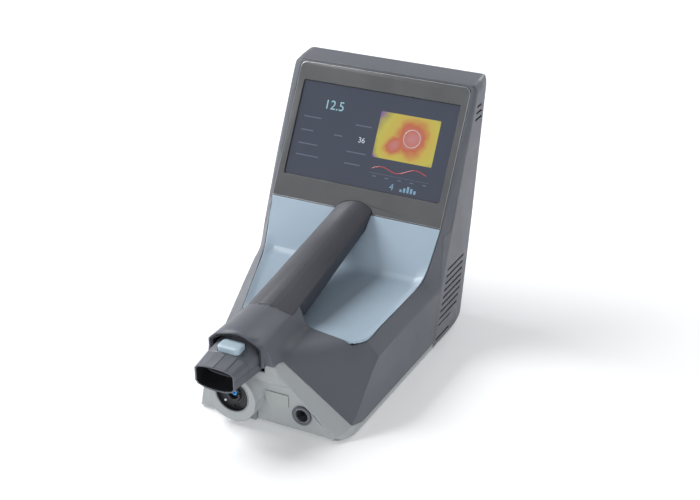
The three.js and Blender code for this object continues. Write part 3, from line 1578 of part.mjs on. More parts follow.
function switchFrame() {
  const at = (shape, inside, outside) => onRearWall(shape, switchX, switchZ, inside, outside);
  const flange = at(roundedRectangle(
    0, 0, switchWidth + switchFlange * 2, switchPlateHeight + switchFlange * 2, switchFlange,
  ), seatGap, switchFlangeThickness + seatGap);
  const housing = at(roundedRectangle(
    0, 0, switchWidth - seatGap * 2, switchPlateHeight - seatGap * 2, inletWall,
  ), -switchDepth, switchFlangeThickness);
  const well = at(roundedRectangle(0, 0, rockerWidth, rockerHeight, inletWall / 2), -rockerWell, cutOverrun);
  return cut(union(flange, housing), well);
}

// The rocker's outer face is a shallow V, so that one half lies flush while the other stands out.
function rockerSwitch() {
  const half = rockerWidth / 2 - rockerClearance;
  const tall = rockerHeight / 2 - seatGap;
  const rise = rockerProud + rockerPivotDepth;
  const heel = rockerWell - rockerPivotDepth - rockerClearance * 2;
  const shape = outline([
    [-half, 0], [-half * rockerHeelShare, -heel], [half * rockerHeelShare, -heel], [half, 0],
    [half, rise], [0, rise - half * Math.tan(rockerAngle * degree)], [-half, rise],
  ]);
  const origin = new THREE.Vector3(switchX, rearFootY + rearLeanShare * switchZ, switchZ);
  origin.addScaledVector(wallOut, -rockerPivotDepth);
  const right = wallRight.clone().applyAxisAngle(wallUp, rockerAngle * degree);
  const out = wallOut.clone().applyAxisAngle(wallUp, rockerAngle * degree);
  return prism(shape, right, out, origin, -tall, tall);
}

function foot(x, y) {
  return turnedUp([
    [0, -footProud], [footRadius - footChamfer, -footProud], [footRadius, -footProud + footChamfer],
    [footRadius, footSink - seatGap], [0, footSink - seatGap],
  ], x, y, 0, roundSteps / 2);
}

function screw(x, y) {
  const turns = smoothSteps * 2;
  const body = turnedUp([
    [0, seatGap], [screwHeadRadius, seatGap], [screwHeadRadius, screwHeadHeight - seatGap],
    [screwRadius, screwHeadHeight - seatGap], [screwRadius, screwLength], [0, screwLength],
  ], x, y, 0, turns);
  const drive = turnedUp(rod(screwDriveRadius, 0, screwDriveDepth), x, y, 0, smoothSteps);
  return body.subtract(drive);
}

const group = new THREE.Group();
const colours = {
  hood: 0x5d6168, side: 0x6b6c76, pale: 0x969b9e, tray: 0xacbcc6, bezel: 0x85868e, glass: 0x484f62,
  dark: 0x3c3e46, black: 0x232428, board: 0x1f5a3a, steel: 0xa8abad, metal: 0xc2c5c8, blue: 0x1e82c8,
  button: 0xaabec8, rubber: 0x2b2c2e, plate: 0xb9b8ac, lens: 0xb8d0dc,
};

function part(name, solid, colour, roughness, metalness = 0) {
  const material = new THREE.MeshStandardMaterial({ color: colour, roughness, metalness });
  const mesh = new THREE.Mesh(geometryOf(solid), material);
  mesh.name = name;
  group.add(mesh);
}

part('front_housing', frontHousing, colours.hood, 0.55);
part('rear_cover', rearCover, colours.side, 0.6);
part('base_shell', baseShell, colours.pale, 0.5);
part('display_bezel', bezel, colours.bezel, 0.35, 0.6);
part('display_glass', glass, colours.glass, 0.1);
part('display_module', panel, colours.black, 0.5);
part('display_board', displayBoard(), colours.board, 0.6);
part('tray', tray, colours.tray, 0.45);
part('handle_cover', handleCover, colours.hood, 0.5);
part('handle_grip', handleGrip, colours.dark, 0.7);
part('handle_bar', handleBar, colours.steel, 0.4, 0.9);
part('handpiece_nozzle', nozzle, colours.hood, 0.5);
part('handpiece_upper_shell', handpieceUpper, colours.hood, 0.5);
part('handpiece_lower_shell', handpieceLower, colours.hood, 0.5);
part('trigger_button', triggerButton(), colours.button, 0.4);
part('trigger_switch', switchBody, colours.black, 0.5);
part('optic_barrel', opticBarrel, colours.metal, 0.3, 0.9);
part('optic_lens', opticLens, colours.lens, 0.05);
part('dock_gasket', gasket, colours.rubber, 0.9);
part('dock_cradle', dockCradle(), colours.dark, 0.6);
part('socket_ring', socketRing, colours.pale, 0.4);
part('socket_body', socketBody, colours.black, 0.5);
part('socket_ferrule', socketFerrule, colours.blue, 0.4);
part('socket_pin', socketPin, colours.metal, 0.3, 0.9);
part('port_shell', portShell, colours.hood, 0.4);
part('port_insert', portInsert(), colours.black, 0.6);
part('label_plate', labelPlate, colours.plate, 0.5);
part('chassis_plate', chassisPlate(), colours.metal, 0.4, 0.9);
part('power_supply', powerSupply(), colours.steel, 0.4, 0.9);
part('heat_sink', heatSink(), colours.metal, 0.4, 0.9);
part('laser_module', laserModule(), colours.steel, 0.3, 0.9);
part('main_board', mainBoard(), colours.board, 0.6);
part('fan_frame', fanFrame(), colours.black, 0.6);
part('fan_rotor', fanRotor(), colours.dark, 0.6);
part('mains_inlet', mainsInlet(), colours.black, 0.5);
part('switch_frame', switchFrame(), colours.black, 0.5);
part('rocker_switch', rockerSwitch(), colours.black, 0.4);
footPlaces().forEach(([name, x, y]) => part(name, foot(x, y), colours.rubber, 0.9));
screwPlaces().forEach(([name, x, y]) => part(name, screw(x, y), colours.steel, 0.4, 0.9));

// The origin is the middle of the footprint, on the surface that the feet stand on.
const extent = new THREE.Box3().setFromObject(group);
const middle = extent.getCenter(new THREE.Vector3());
group.position.set(-middle.x, -middle.y, -extent.min.z);
export default group;
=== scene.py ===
"""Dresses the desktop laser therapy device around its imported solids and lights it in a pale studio."""

import json
import logging
import math
from collections.abc import Callable, Sequence
from dataclasses import dataclass
from enum import Enum
from functools import cache

import bpy
from mathutils import Matrix, Vector

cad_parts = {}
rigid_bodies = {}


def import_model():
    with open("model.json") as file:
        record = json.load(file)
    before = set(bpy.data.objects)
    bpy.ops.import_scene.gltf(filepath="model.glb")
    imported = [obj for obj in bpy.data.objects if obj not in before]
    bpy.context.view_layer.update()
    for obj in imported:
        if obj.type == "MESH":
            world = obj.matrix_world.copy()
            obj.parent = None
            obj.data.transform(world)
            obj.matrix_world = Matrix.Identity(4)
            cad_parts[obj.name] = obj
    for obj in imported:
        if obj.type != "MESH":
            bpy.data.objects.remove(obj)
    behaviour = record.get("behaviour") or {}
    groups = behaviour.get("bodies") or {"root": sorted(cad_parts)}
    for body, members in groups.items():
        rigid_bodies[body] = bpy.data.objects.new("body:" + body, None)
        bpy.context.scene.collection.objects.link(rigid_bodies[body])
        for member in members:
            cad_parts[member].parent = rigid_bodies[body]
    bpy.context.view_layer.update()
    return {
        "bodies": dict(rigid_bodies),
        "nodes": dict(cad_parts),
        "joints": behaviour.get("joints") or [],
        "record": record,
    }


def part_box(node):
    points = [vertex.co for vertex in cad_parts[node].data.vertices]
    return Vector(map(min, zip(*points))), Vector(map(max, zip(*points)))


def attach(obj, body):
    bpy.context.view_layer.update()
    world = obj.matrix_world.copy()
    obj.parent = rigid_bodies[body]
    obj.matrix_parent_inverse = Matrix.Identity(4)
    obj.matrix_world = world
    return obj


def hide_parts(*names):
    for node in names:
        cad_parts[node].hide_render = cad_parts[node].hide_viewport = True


LOG = logging.getLogger("laser_therapy_device")
Color = tuple[float, float, float]
Point = tuple[float, float, float]
Pair = tuple[float, float]
Profile = Sequence[Pair]
Socket = bpy.types.NodeSocket
Piece = bpy.types.Object

MM = 0.001
# Points nearer than this are one point, in metres
WELD = MM / 1000
# Least cosine between a face's normal and the way that it is said to face
FACING = 0.9
RIGHT = Vector((1.0, 0.0, 0.0))
BACK = Vector((0.0, 1.0, 0.0))
UP = Vector((0.0, 0.0, 1.0))


class Body(Enum):
    """The moving groups that a piece can ride on."""

    HOUSING = "housing"
    HANDPIECE = "handpiece"
    TRIGGER = "trigger"
    FAN = "fan"
    ROCKER = "rocker"


class Slot(Enum):
    """The material slots of the record."""

    HOOD = "hood_plastic"
    SIDE = "side_plastic"
    PALE = "pale_plastic"
    TRAY = "tray_plastic"
    BEZEL = "bezel_metal"
    GLASS = "screen_glass"
    GRIP = "grip_plastic"
    BLACK = "black_plastic"
    BOARD = "board_green"
    STEEL = "bar_steel"
    SILVER = "silver_metal"
    BLUE = "blue_plastic"
    BUTTON = "button_plastic"
    RUBBER = "foot_rubber"
    FILM = "plate_film"
    LENS = "lens_glass"


Nodes = Sequence[tuple[str, Slot]]


# Node trees and finishes


class Tree:
    """The node tree of a material or the world, with short ways to add and join its nodes."""

    def __init__(self, owner: bpy.types.Material | bpy.types.World) -> None:
        """Starts the tree with its shader and coordinates.

        Args:
            owner: The material or the world that it belongs to.
        """
        owner.use_nodes = True
        self.nodes, self.links = owner.node_tree.nodes, owner.node_tree.links
        self.shader = self.nodes.get("Principled BSDF") or self.nodes["Background"]
        self.coordinates = self.add("ShaderNodeTexCoord").outputs
        self.place = self.coordinates["Object"]

    def fill(self, target: Socket, value: object) -> None:
        """Gives an input its value.

        Args:
            target: The input.
            value: Another node's output, a colour, a vector or a number.
        """
        if isinstance(value, Socket):
            self.links.new(value, target)
        else:
            target.default_value = (*value, 1.0) if target.type == "RGBA" else value

    def feed(self, name: str, value: object) -> None:
        """Gives one of the shader's inputs its value."""
        self.fill(self.shader.inputs[name], value)

    def add(
        self, kind: str, inputs: dict[str | int, object] | None = None, **settings: object,
    ) -> bpy.types.Node:
        """Adds a node.

        Args:
            kind: The node's type name.
            inputs: Values of its inputs, by name or by place.
            **settings: Properties that are set on it.

        Returns:
            The new node.
        """
        node = self.nodes.new(kind)
        for key, value in settings.items():
            setattr(node, key, value)
        for key, value in (inputs or {}).items():
            self.fill(node.inputs[key], value)
        return node

    def noise(self, waves: float, detail: float = 2.0, stretch: Point = (1.0, 1.0, 1.0)) -> Socket:
        """Adds a noise pattern.

        Args:
            waves: Waves per metre.
            detail: Octaves of finer noise.
            stretch: Scale of the pattern along each axis.

        Returns:
            The noise value, from 0 to 1.
        """
        place = self.add("ShaderNodeMapping", {"Vector": self.place, "Scale": stretch}).outputs["Vector"]
        noise = self.add("ShaderNodeTexNoise", {"Vector": place, "Scale": waves, "Detail": detail})
        return noise.outputs["Fac"]

    def spread(
        self, value: Socket, low: float = 0.0, high: float = 1.0, start: float = 0.3, end: float = 0.7,
    ) -> Socket:
        """Maps a value from start to end onto low to high.

        Args:
            value: The output that is mapped.
            low: Result at start.
            high: Result at end.
            start: Lowest value that counts.
            end: Highest value that counts.

        Returns:
            The mapped value.
        """
        return self.add("ShaderNodeMapRange", {
            "Value": value, "From Min": start, "From Max": end, "To Min": low, "To Max": high,
        }).outputs["Result"]

    def vary(self, value: Socket, middle: float, band: float) -> Socket:
        """Maps a pattern onto numbers that lie at most the band from the middle."""
        return self.spread(value, middle - band, middle + band)

    def mix(self, share: Socket, first: Color | Socket, second: Color | Socket) -> Socket:
        """Mixes two colours, the share saying how much of the second shows."""
        return self.add("ShaderNodeMix", {0: share, 6: first, 7: second}, data_type="RGBA").outputs[2]

    def tint(self, share: Socket, color: Color, low: float, high: float) -> Socket:
        """Gives the colour times the low factor where the share is 0 and the high one where it is 1."""
        return self.mix(share, shade(color, low), shade(color, high))

    def ramp(self, value: Socket, stops: Sequence[tuple[float, Color]]) -> Socket:
        """Turns a value into colours.

        Args:
            value: The output that picks the colour.
            stops: Pairs of position and colour.

        Returns:
            The colour.
        """
        node = self.add("ShaderNodeValToRGB", {"Fac": value})
        elements = node.color_ramp.elements
        while len(elements) < len(stops):
            elements.new(1.0)
        for element, (position, color) in zip(elements, stops):
            element.position = position
            element.color = (*color, 1.0)
        return node.outputs["Color"]

    def round_edges(self, radius: float) -> Socket:
        """Gives the normal of edges rounded by that radius in metres."""
        return self.add("ShaderNodeBevel", {"Radius": radius}, samples=6).outputs["Normal"]

    def edge_mask(self, rounded: Socket, sharp: float = 0.8, flat: float = 0.96) -> Socket:
        """Finds the edges.

        Args:
            rounded: The normal of the rounded edges.
            sharp: Cosine between it and the face's own normal that counts as an edge.
            flat: Cosine that counts as flat.

        Returns:
            0 on the flat and 1 on an edge.
        """
        normal = self.add("ShaderNodeNewGeometry").outputs["Normal"]
        dot = self.add("ShaderNodeVectorMath", {0: rounded, 1: normal}, operation="DOT_PRODUCT")
        return self.spread(dot.outputs["Value"], 1.0, 0.0, sharp, flat)

    def bump(self, height: Socket, strength: float, distance: float, base: Socket | None = None) -> Socket:
        """Raises a pattern.

        Args:
            height: The pattern.
            strength: How much of it counts.
            distance: Its height in metres.
            base: The normal that it stands on.

        Returns:
            The new normal.
        """
        node = self.add("ShaderNodeBump", {"Strength": strength, "Distance": distance, "Height": height})
        if base is not None:
            self.fill(node.inputs["Normal"], base)
        return node.outputs["Normal"]


def shade(color: Color, factor: float) -> Color:
    """Gives the colour made lighter or darker by the factor."""
    return tuple(min(part * factor, 1.0) for part in color)


@dataclass(frozen=True)
class Finish:
    """What every finish has: the material's name and its main colour."""

    name: str
    color: Color

    def paint(self, tree: Tree) -> None:
        """Joins the nodes of the finish in the material's tree."""
        raise NotImplementedError

    @cache
    def material(self) -> bpy.types.Material:
        """Builds the finish.

        Returns:
            The material, built once and then kept.
        """
        material = bpy.data.materials.new(self.name)
        self.paint(Tree(material))
        return material


@dataclass(frozen=True)
class MouldedPlastic(Finish):
    """Moulded plastic with fine grain, faint flow marks and lighter edges, partly worn by handling and partly
    a painted highlight.
    """

    roughness: float = 0.46
    roughness_band: float = 0.05
    smear_waves: float = 42.0
    grain: float = 2400.0
    grain_strength: float = 0.35
    grain_height: float = 0.00005
    fleck: float = 0.35
    fleck_light: float = 1.08
    edge_radius: float = 0.0008
    edge_light: float = 1.25
    edge_wear_and_highlight: float = 0.7
    mottle: float = 0.05
    mottle_waves: float = 14.0
    metallic: float = 0.0

    def paint(self, tree: Tree) -> None:
        """Paints flow marks, flecks, lighter edges and grain; the edges are partly wear and partly a painted
        highlight.

        Args:
            tree: The material's tree.
        """
        rounded = tree.round_edges(self.edge_radius)
        flow = tree.spread(tree.noise(self.mottle_waves, detail=4.0))
        body = tree.tint(flow, self.color, 1 - self.mottle, 1 + self.mottle)
        flecks = tree.spread(tree.noise(self.grain, detail=1.0), high=self.fleck)
        flecked = tree.mix(flecks, body, shade(self.color, self.fleck_light))
        # Edges made lighter: partly wear, partly a painted highlight along every edge.
        wear_and_highlight = tree.spread(tree.edge_mask(rounded), high=self.edge_wear_and_highlight, start=0.0, end=1.0)
        tree.feed("Base Color", tree.mix(wear_and_highlight, flecked, shade(self.color, self.edge_light)))
        smears = tree.noise(self.smear_waves, detail=3.0)
        tree.feed("Roughness", tree.vary(smears, self.roughness, self.roughness_band))
        tree.feed("Metallic", self.metallic)
        grain = tree.noise(self.grain, detail=1.0)
        tree.feed("Normal", tree.bump(grain, self.grain_strength, self.grain_height, rounded))


@dataclass(frozen=True)
class BrushedMetal(Finish):
    """Metal brushed or milled along one axis."""

    roughness: float = 0.34
    roughness_band: float = 0.08
    waves: float = 40.0
    stretch: Point = (60.0, 2.0, 60.0)
    dark: float = 0.88
    light: float = 1.1
    streak_strength: float = 0.25
    streak_height: float = 0.00004
    edge_radius: float = 0.0003

    def paint(self, tree: Tree) -> None:
        """Paints the streaks of the brush.

        Args:
            tree: The material's tree.
        """
        rounded = tree.round_edges(self.edge_radius)
        streak = tree.noise(self.waves, 3.0, self.stretch)
        tree.feed("Base Color", tree.tint(tree.spread(streak), self.color, self.dark, self.light))
        tree.feed("Metallic", 1.0)
        tree.feed("Roughness", tree.vary(streak, self.roughness, self.roughness_band))
        tree.feed("Normal", tree.bump(streak, self.streak_strength, self.streak_height, rounded))


@dataclass(frozen=True)
class Rubber(Finish):
    """Matt rubber with a soft bloom."""

    roughness: float = 0.8
    roughness_band: float = 0.08
    rub_waves: float = 60.0
    bloom_waves: float = 90.0
    dark: float = 0.85
    light: float = 1.5
    grain: float = 1500.0
    grain_strength: float = 0.4
    grain_height: float = 0.00006
    edge_radius: float = 0.0005

    def paint(self, tree: Tree) -> None:
        """Paints bloom and grain.

        Args:
            tree: The material's tree.
        """
        rounded = tree.round_edges(self.edge_radius)
        bloom = tree.spread(tree.noise(self.bloom_waves, detail=4.0))
        tree.feed("Base Color", tree.tint(bloom, self.color, self.dark, self.light))
        tree.feed("Roughness", tree.vary(tree.noise(self.rub_waves), self.roughness, self.roughness_band))
        grain = tree.noise(self.grain)
        tree.feed("Normal", tree.bump(grain, self.grain_strength, self.grain_height, rounded))


@dataclass(frozen=True)
class CircuitBoard(Finish):
    """Coated board with faint copper tracks under the lacquer."""

    roughness: float = 0.3
    roughness_band: float = 0.06
    haze_waves: float = 80.0
    track_scale: float = 160.0
    track_width: float = 0.035
    track_share: float = 0.8
    track_strength: float = 0.4
    track_height: float = 0.00005
    dark: float = 0.9
    light: float = 2.2

    def paint(self, tree: Tree) -> None:
        """Paints the tracks.

        Args:
            tree: The material's tree.
        """
        tracks = tree.add("ShaderNodeTexBrick", {
            "Vector": tree.place, "Scale": self.track_scale, "Mortar Size": self.track_width,
        }, offset=0.37, squash=0.7)
        lines = tree.spread(tracks.outputs["Fac"], high=self.track_share, start=0.0, end=1.0)
        tree.feed("Base Color", tree.tint(lines, self.color, self.dark, self.light))
        tree.feed("Roughness", tree.vary(tree.noise(self.haze_waves), self.roughness, self.roughness_band))
        tree.feed("Normal", tree.bump(lines, self.track_strength, self.track_height))


@dataclass(frozen=True)
class ClearGlass(Finish):
    """Coated glass, clear or dark, with a faint film of finger marks."""

    roughness: float = 0.08
    smear: float = 0.07
    film_waves: float = 30.0
    film_tone: float = 0.06
    film_strength: float = 0.05
    film_height: float = 0.00002
    transmission: float = 0.0
    glow: Color = (0.0, 0.0, 0.0)
    glow_strength: float = 0.0

    def paint(self, tree: Tree) -> None:
        """Paints the film and the light behind it.

        Args:
            tree: The material's tree.
        """
        film = tree.noise(self.film_waves, detail=5.0)
        tone = tree.tint(tree.spread(film), self.color, 1 - self.film_tone, 1 + self.film_tone)
        tree.feed("Base Color", tone)
        smeared = self.roughness + self.smear
        tree.feed("Roughness", tree.spread(film, self.roughness, smeared, start=0.4, end=0.65))
        tree.feed("Transmission Weight", self.transmission)
        if self.glow_strength > 0.0:
            tree.feed("Emission Color", self.glow)
            tree.feed("Emission Strength", self.glow_strength)
        tree.feed("Normal", tree.bump(film, self.film_strength, self.film_height))


@dataclass(frozen=True)
class Lamp(Finish):
    """A lit mark on the display: its own light under the gloss of the glass."""

    strength: float
    unlit: float = 0.25
    dots: float = 3200.0
    dot_dark: float = 0.9
    roughness: float = 0.2

    def paint(self, tree: Tree) -> None:
        """Paints the light.

        Args:
            tree: The material's tree.
        """
        dots = tree.spread(tree.noise(self.dots, detail=0.0))
        tree.feed("Emission Color", tree.tint(dots, self.color, self.dot_dark, 1.0))
        tree.feed("Base Color", shade(self.color, self.unlit))
        tree.feed("Emission Strength", self.strength)
        tree.feed("Roughness", self.roughness)


@dataclass(frozen=True)
class HeatField(Finish):
    """A field of heat colours round two warm spots, as a thermal picture shows."""

    first: Point
    second: Point
    reach: float
    second_share: float = 0.62
    wobble: float = 0.016
    wobble_waves: float = 55.0
    strength: float = 0.62
    roughness: float = 0.2
    stops: Sequence[tuple[float, Color]] = (
        (0.0, (0.24, 0.04, 0.5)), (0.1, (0.5, 0.42, 0.1)), (0.28, (0.74, 0.66, 0.06)),
        (0.5, (0.78, 0.58, 0.06)), (0.68, (0.72, 0.16, 0.04)), (1.0, (0.72, 0.3, 0.3)),
    )

    def spot(self, tree: Tree, centre: Point, reach: float) -> Socket:
        """Adds a warm spot.

        Args:
            tree: The material's tree.
            centre: Middle of the spot in metres.
            reach: Radius in metres.

        Returns:
            1 in the middle and 0 at the reach.
        """
        noise = tree.add("ShaderNodeTexNoise", {"Vector": tree.place, "Scale": self.wobble_waves})
        shift = tree.add("ShaderNodeVectorMath", {
            0: noise.outputs["Color"], 1: (self.wobble, self.wobble, self.wobble), 2: tree.place,
        }, operation="MULTIPLY_ADD")
        distance = tree.add("ShaderNodeVectorMath", {
            0: shift.outputs["Vector"], 1: tuple(value + self.wobble / 2 for value in centre),
        }, operation="DISTANCE")
        return tree.spread(distance.outputs["Value"], 1.0, 0.0, 0.0, reach)

    def paint(self, tree: Tree) -> None:
        """Paints both spots.

        Args:
            tree: The material's tree.
        """
        first = self.spot(tree, self.first, self.reach)
        second = self.spot(tree, self.second, self.reach * self.second_share)
        both = tree.add("ShaderNodeMath", {0: first, 1: second}, operation="MAXIMUM")
        tree.feed("Emission Color", tree.ramp(both.outputs[0], self.stops))
        tree.feed("Emission Strength", self.strength)
        tree.feed("Base Color", self.color)
        tree.feed("Roughness", self.roughness)


@dataclass(frozen=True)
class GlowingFloor(Finish):
    """A pale floor, as bright far off as the sky at the horizon."""

    light: Color = (0.86, 0.87, 0.88)
    cloud_waves: float = 3.0
    roughness: float = 0.7
    near_glow: float = 0.18
    far_glow: float = 0.6
    near_reach: float = 0.9
    far_reach: float = 2.6

    def paint(self, tree: Tree) -> None:
        """Paints clouds and a glow that rises with the distance.

        Args:
            tree: The material's tree.
        """
        tree.feed("Roughness", self.roughness)
        clouds = tree.spread(tree.noise(self.cloud_waves))
        tree.feed("Base Color", tree.mix(clouds, self.color, self.light))
        tree.feed("Emission Color", (1.0, 1.0, 1.0))
        distance = tree.add("ShaderNodeVectorMath", {0: tree.place}, operation="LENGTH").outputs["Value"]
        glow = tree.spread(distance, self.near_glow, self.far_glow, self.near_reach, self.far_reach)
        tree.feed("Emission Strength", glow)


FLOOR = GlowingFloor("studio_floor_finish", (0.83, 0.84, 0.855))
# edge_light sets how much lighter a finish's edges are: partly wear, partly a painted highlight.
HANDLE = MouldedPlastic("handle_plastic_finish", (0.066, 0.068, 0.081), roughness=0.4, edge_light=1.1)
BRIGHT_LINE = MouldedPlastic(
    "bright_line_finish", (0.42, 0.43, 0.45), roughness=0.35, metallic=0.5, edge_radius=0.0001,
    edge_light=1.0,
)
WHITE_PIN = MouldedPlastic(
    "white_pin_finish", (0.8, 0.82, 0.84), roughness=0.35, edge_radius=0.0002, edge_light=1.0,
)
MARK_PAINT = MouldedPlastic(
    "mark_paint_finish", (0.7, 0.71, 0.72), roughness=0.5, edge_radius=0.0001, edge_light=1.0,
)
CYAN_LIGHT = Lamp("cyan_light", (0.36, 0.64, 0.72), 0.6)
WHITE_LIGHT = Lamp("white_light", (0.72, 0.78, 0.84), 0.55)
FAINT_LIGHT = Lamp("faint_light", (0.13, 0.15, 0.2), 0.7)
RED_LIGHT = Lamp("red_light", (0.6, 0.08, 0.1), 0.6)
BLUE_LIGHT = Lamp("blue_light", (0.26, 0.44, 0.6), 0.55)
FINISHES: dict[Slot, Finish] = {
    Slot.HOOD: MouldedPlastic("hood_plastic_finish", (0.099, 0.108, 0.127), edge_light=1.12),
    Slot.SIDE: MouldedPlastic("side_plastic_finish", (0.125, 0.13, 0.152), edge_light=1.12),
    Slot.PALE: MouldedPlastic("pale_plastic_finish", (0.36, 0.382, 0.388), edge_light=1.12),
    Slot.TRAY: MouldedPlastic(
        "tray_plastic_finish", (0.35, 0.44, 0.525), roughness=0.35, grain=1100.0, edge_light=1.08,
        mottle=0.03,
    ),
    Slot.BEZEL: MouldedPlastic(
        "bezel_metal_finish", (0.122, 0.124, 0.128), roughness=0.38, metallic=0.45, grain=3200.0,
        grain_height=0.00002, mottle=0.03,
    ),
    Slot.GLASS: ClearGlass(
        "screen_glass_finish", (0.02, 0.023, 0.03), glow=(0.075, 0.085, 0.125), glow_strength=0.55,
    ),
    Slot.GRIP: MouldedPlastic("grip_plastic_finish", (0.045, 0.048, 0.062), roughness=0.55),
    Slot.BLACK: MouldedPlastic(
        "black_plastic_finish", (0.017, 0.018, 0.021), edge_radius=0.0004, edge_light=1.8,
    ),
    Slot.BOARD: CircuitBoard("board_green_finish", (0.014, 0.1, 0.042)),
    Slot.STEEL: BrushedMetal("bar_steel_finish", (0.4, 0.41, 0.42)),
    Slot.SILVER: BrushedMetal("silver_metal_finish", (0.54, 0.55, 0.57), roughness=0.26),
    Slot.BLUE: MouldedPlastic(
        "blue_plastic_finish", (0.02, 0.32, 0.75), roughness=0.2, grain=900.0, grain_height=0.00001,
        edge_radius=0.0002, edge_light=1.5,
    ),
    Slot.BUTTON: MouldedPlastic("button_plastic_finish", (0.4, 0.51, 0.58), roughness=0.4, edge_light=1.15),
    Slot.RUBBER: Rubber("foot_rubber_finish", (0.024, 0.025, 0.027)),
    Slot.FILM: MouldedPlastic(
        "plate_film_finish", (0.36, 0.385, 0.378), roughness=0.34, grain=1500.0, edge_radius=0.0002,
        edge_light=1.1,
    ),
    Slot.LENS: ClearGlass("lens_glass_finish", (0.48, 0.63, 0.71), roughness=0.03, transmission=0.8),
}


# Shared ways of making a piece


@dataclass(frozen=True)
class Layout:
    """Turns the maker's millimetres into the frame's metres."""

    front: float
    floor: float = 2.0
    mouth_y: float = -29.5

    @classmethod
    def read(cls) -> "Layout":
        """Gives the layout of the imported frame, from the front of the nozzle."""
        return cls(front=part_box("handpiece_nozzle")[0][1] - cls.mouth_y * MM)

    def at(self, x: float, y: float, z: float) -> Vector:
        """Gives a point in metres."""
        return Vector((x * MM, y * MM + self.front, (z + self.floor) * MM))


def arc(radius: float, middle: Pair, steps: int, sweep: float = math.tau) -> list[Pair]:
    """Gives the points of an arc that starts on the right and turns to the left.

    Args:
        radius: Its radius.
        middle: Its middle.
        steps: Its number of sides.
        sweep: Its angle in radians.

    Returns:
        Pairs in the unit of the radius, with both ends.
    """
    angles = [sweep * i / steps for i in range(steps + 1)]
    return [(middle[0] + radius * math.cos(a), middle[1] + radius * math.sin(a)) for a in angles]


def flat_points(points: Profile) -> list[Vector]:
    """Lays pairs of millimetres out as points of the XY plane in metres."""
    return [Vector((x, y, 0.0)) * MM for x, y in points]


def deselect() -> None:
    """Deselects every object."""
    bpy.ops.object.select_all(action="DESELECT")


def take(piece: Piece) -> None:
    """Selects one piece alone and makes it active.

    Args:
        piece: The piece.
    """
    deselect()
    piece.select_set(True)
    bpy.context.view_layer.objects.active = piece


def edit(piece: Piece) -> None:
    """Opens one piece in edit mode with all of it selected.

    Args:
        piece: The piece in object mode.
    """
    take(piece)
    bpy.ops.object.mode_set(mode="EDIT")
    bpy.ops.mesh.select_all(action="SELECT")


def leave() -> None:
    """Closes edit mode."""
    bpy.ops.object.mode_set(mode="OBJECT")


def weld() -> None:
    """Merges selected points that lie in one place."""
    bpy.ops.mesh.remove_doubles(threshold=WELD)


def pick_faces(piece: Piece, test: Callable[[Vector, Vector], bool]) -> None:
    """Selects faces in edit mode.

    Args:
        piece: The piece in edit mode.
        test: Says from a face's centre and normal whether it is taken.
    """
    bpy.ops.mesh.select_mode(type="FACE")
    bpy.ops.mesh.select_all(action="DESELECT")
    leave()
    for face in piece.data.polygons:
        face.select = test(face.center, face.normal)
    bpy.ops.object.mode_set(mode="EDIT")


def pick_edges(piece: Piece, test: Callable[[Vector, Vector], bool]) -> None:
    """Selects edges in edit mode.

    Args:
        piece: The piece in edit mode.
        test: Says from an edge's two ends whether it is taken.
    """
    bpy.ops.mesh.select_mode(type="EDGE")
    bpy.ops.mesh.select_all(action="DESELECT")
    leave()
    places = [vertex.co for vertex in piece.data.vertices]
    for edge in piece.data.edges:
        edge.select = test(places[edge.vertices[0]], places[edge.vertices[1]])
    bpy.ops.object.mode_set(mode="EDIT")


def block(name: str, size: Point) -> Piece:
    """Adds a block round the origin.

    Args:
        name: The piece's name.
        size: Its width, length and height in metres.

    Returns:
        The block.
    """
    deselect()
    bpy.ops.mesh.primitive_cube_add(size=1.0)
    piece = bpy.context.object
    piece.name = name
    piece.scale = size
    bpy.ops.object.transform_apply(location=False, rotation=False, scale=True)
    return piece


def pad(name: str, size: Point, corner: float, steps: int = 6) -> Piece:
    """Adds a block whose upright corners are rounded.

    Args:
        name: The piece's name.
        size: Its width, length and height in metres.
        corner: Radius of the corners in metres.
        steps: Facets of each corner.

    Returns:
        The pad in object mode.
    """
    piece = block(name, size)
    edit(piece)
    half_width, half_height = size[0] / 2, size[2] / 2
    pick_edges(piece, lambda a, b: abs(a.z - b.z) > half_height and abs(abs(a.x) - half_width) < MM)
    bpy.ops.mesh.bevel(offset=corner, segments=steps, affect="EDGES")
    leave()
    return piece


def chain(name: str, points: Sequence[Vector]) -> Piece:
    """Draws a chain of edges.

    Args:
        name: The piece's name.
        points: The corners of the chain in metres.

    Returns:
        The chain, open in edit mode.
    """
    deselect()
    bpy.ops.mesh.primitive_plane_add(size=MM)
    piece = bpy.context.object
    piece.name = name
    bpy.ops.object.mode_set(mode="EDIT")
    bpy.ops.mesh.select_mode(type="VERT")
    bpy.ops.mesh.select_all(action="SELECT")
    bpy.ops.mesh.merge(type="CENTER")
    bpy.ops.transform.translate(value=points[0])
    for before, after in zip(points, points[1:]):
        bpy.ops.mesh.extrude_vertices_move(TRANSFORM_OT_translate={"value": after - before})
    return piece


def spin(name: str, profile: Profile, steps: int, upright: bool = False) -> Piece:
    """Turns a profile round the origin.

    Args:
        name: The piece's name.
        profile: Pairs of radius and distance along the axis, in millimetres.
        steps: Facets round the piece.
        upright: True for an axis that points up, false for one that points to the back.

    Returns:
        The turned piece in object mode.
    """
    points = flat_points(profile)
    if upright:
        points = [Vector((point.x, 0.0, point.y)) for point in points]
    piece = chain(name, points)
    bpy.ops.mesh.select_all(action="SELECT")
    bpy.ops.mesh.spin(steps=steps, angle=math.tau, center=(0, 0, 0), axis=UP if upright else BACK)
    bpy.ops.mesh.select_all(action="SELECT")
    weld()
    bpy.ops.mesh.normals_make_consistent(inside=False)
    leave()
    return piece


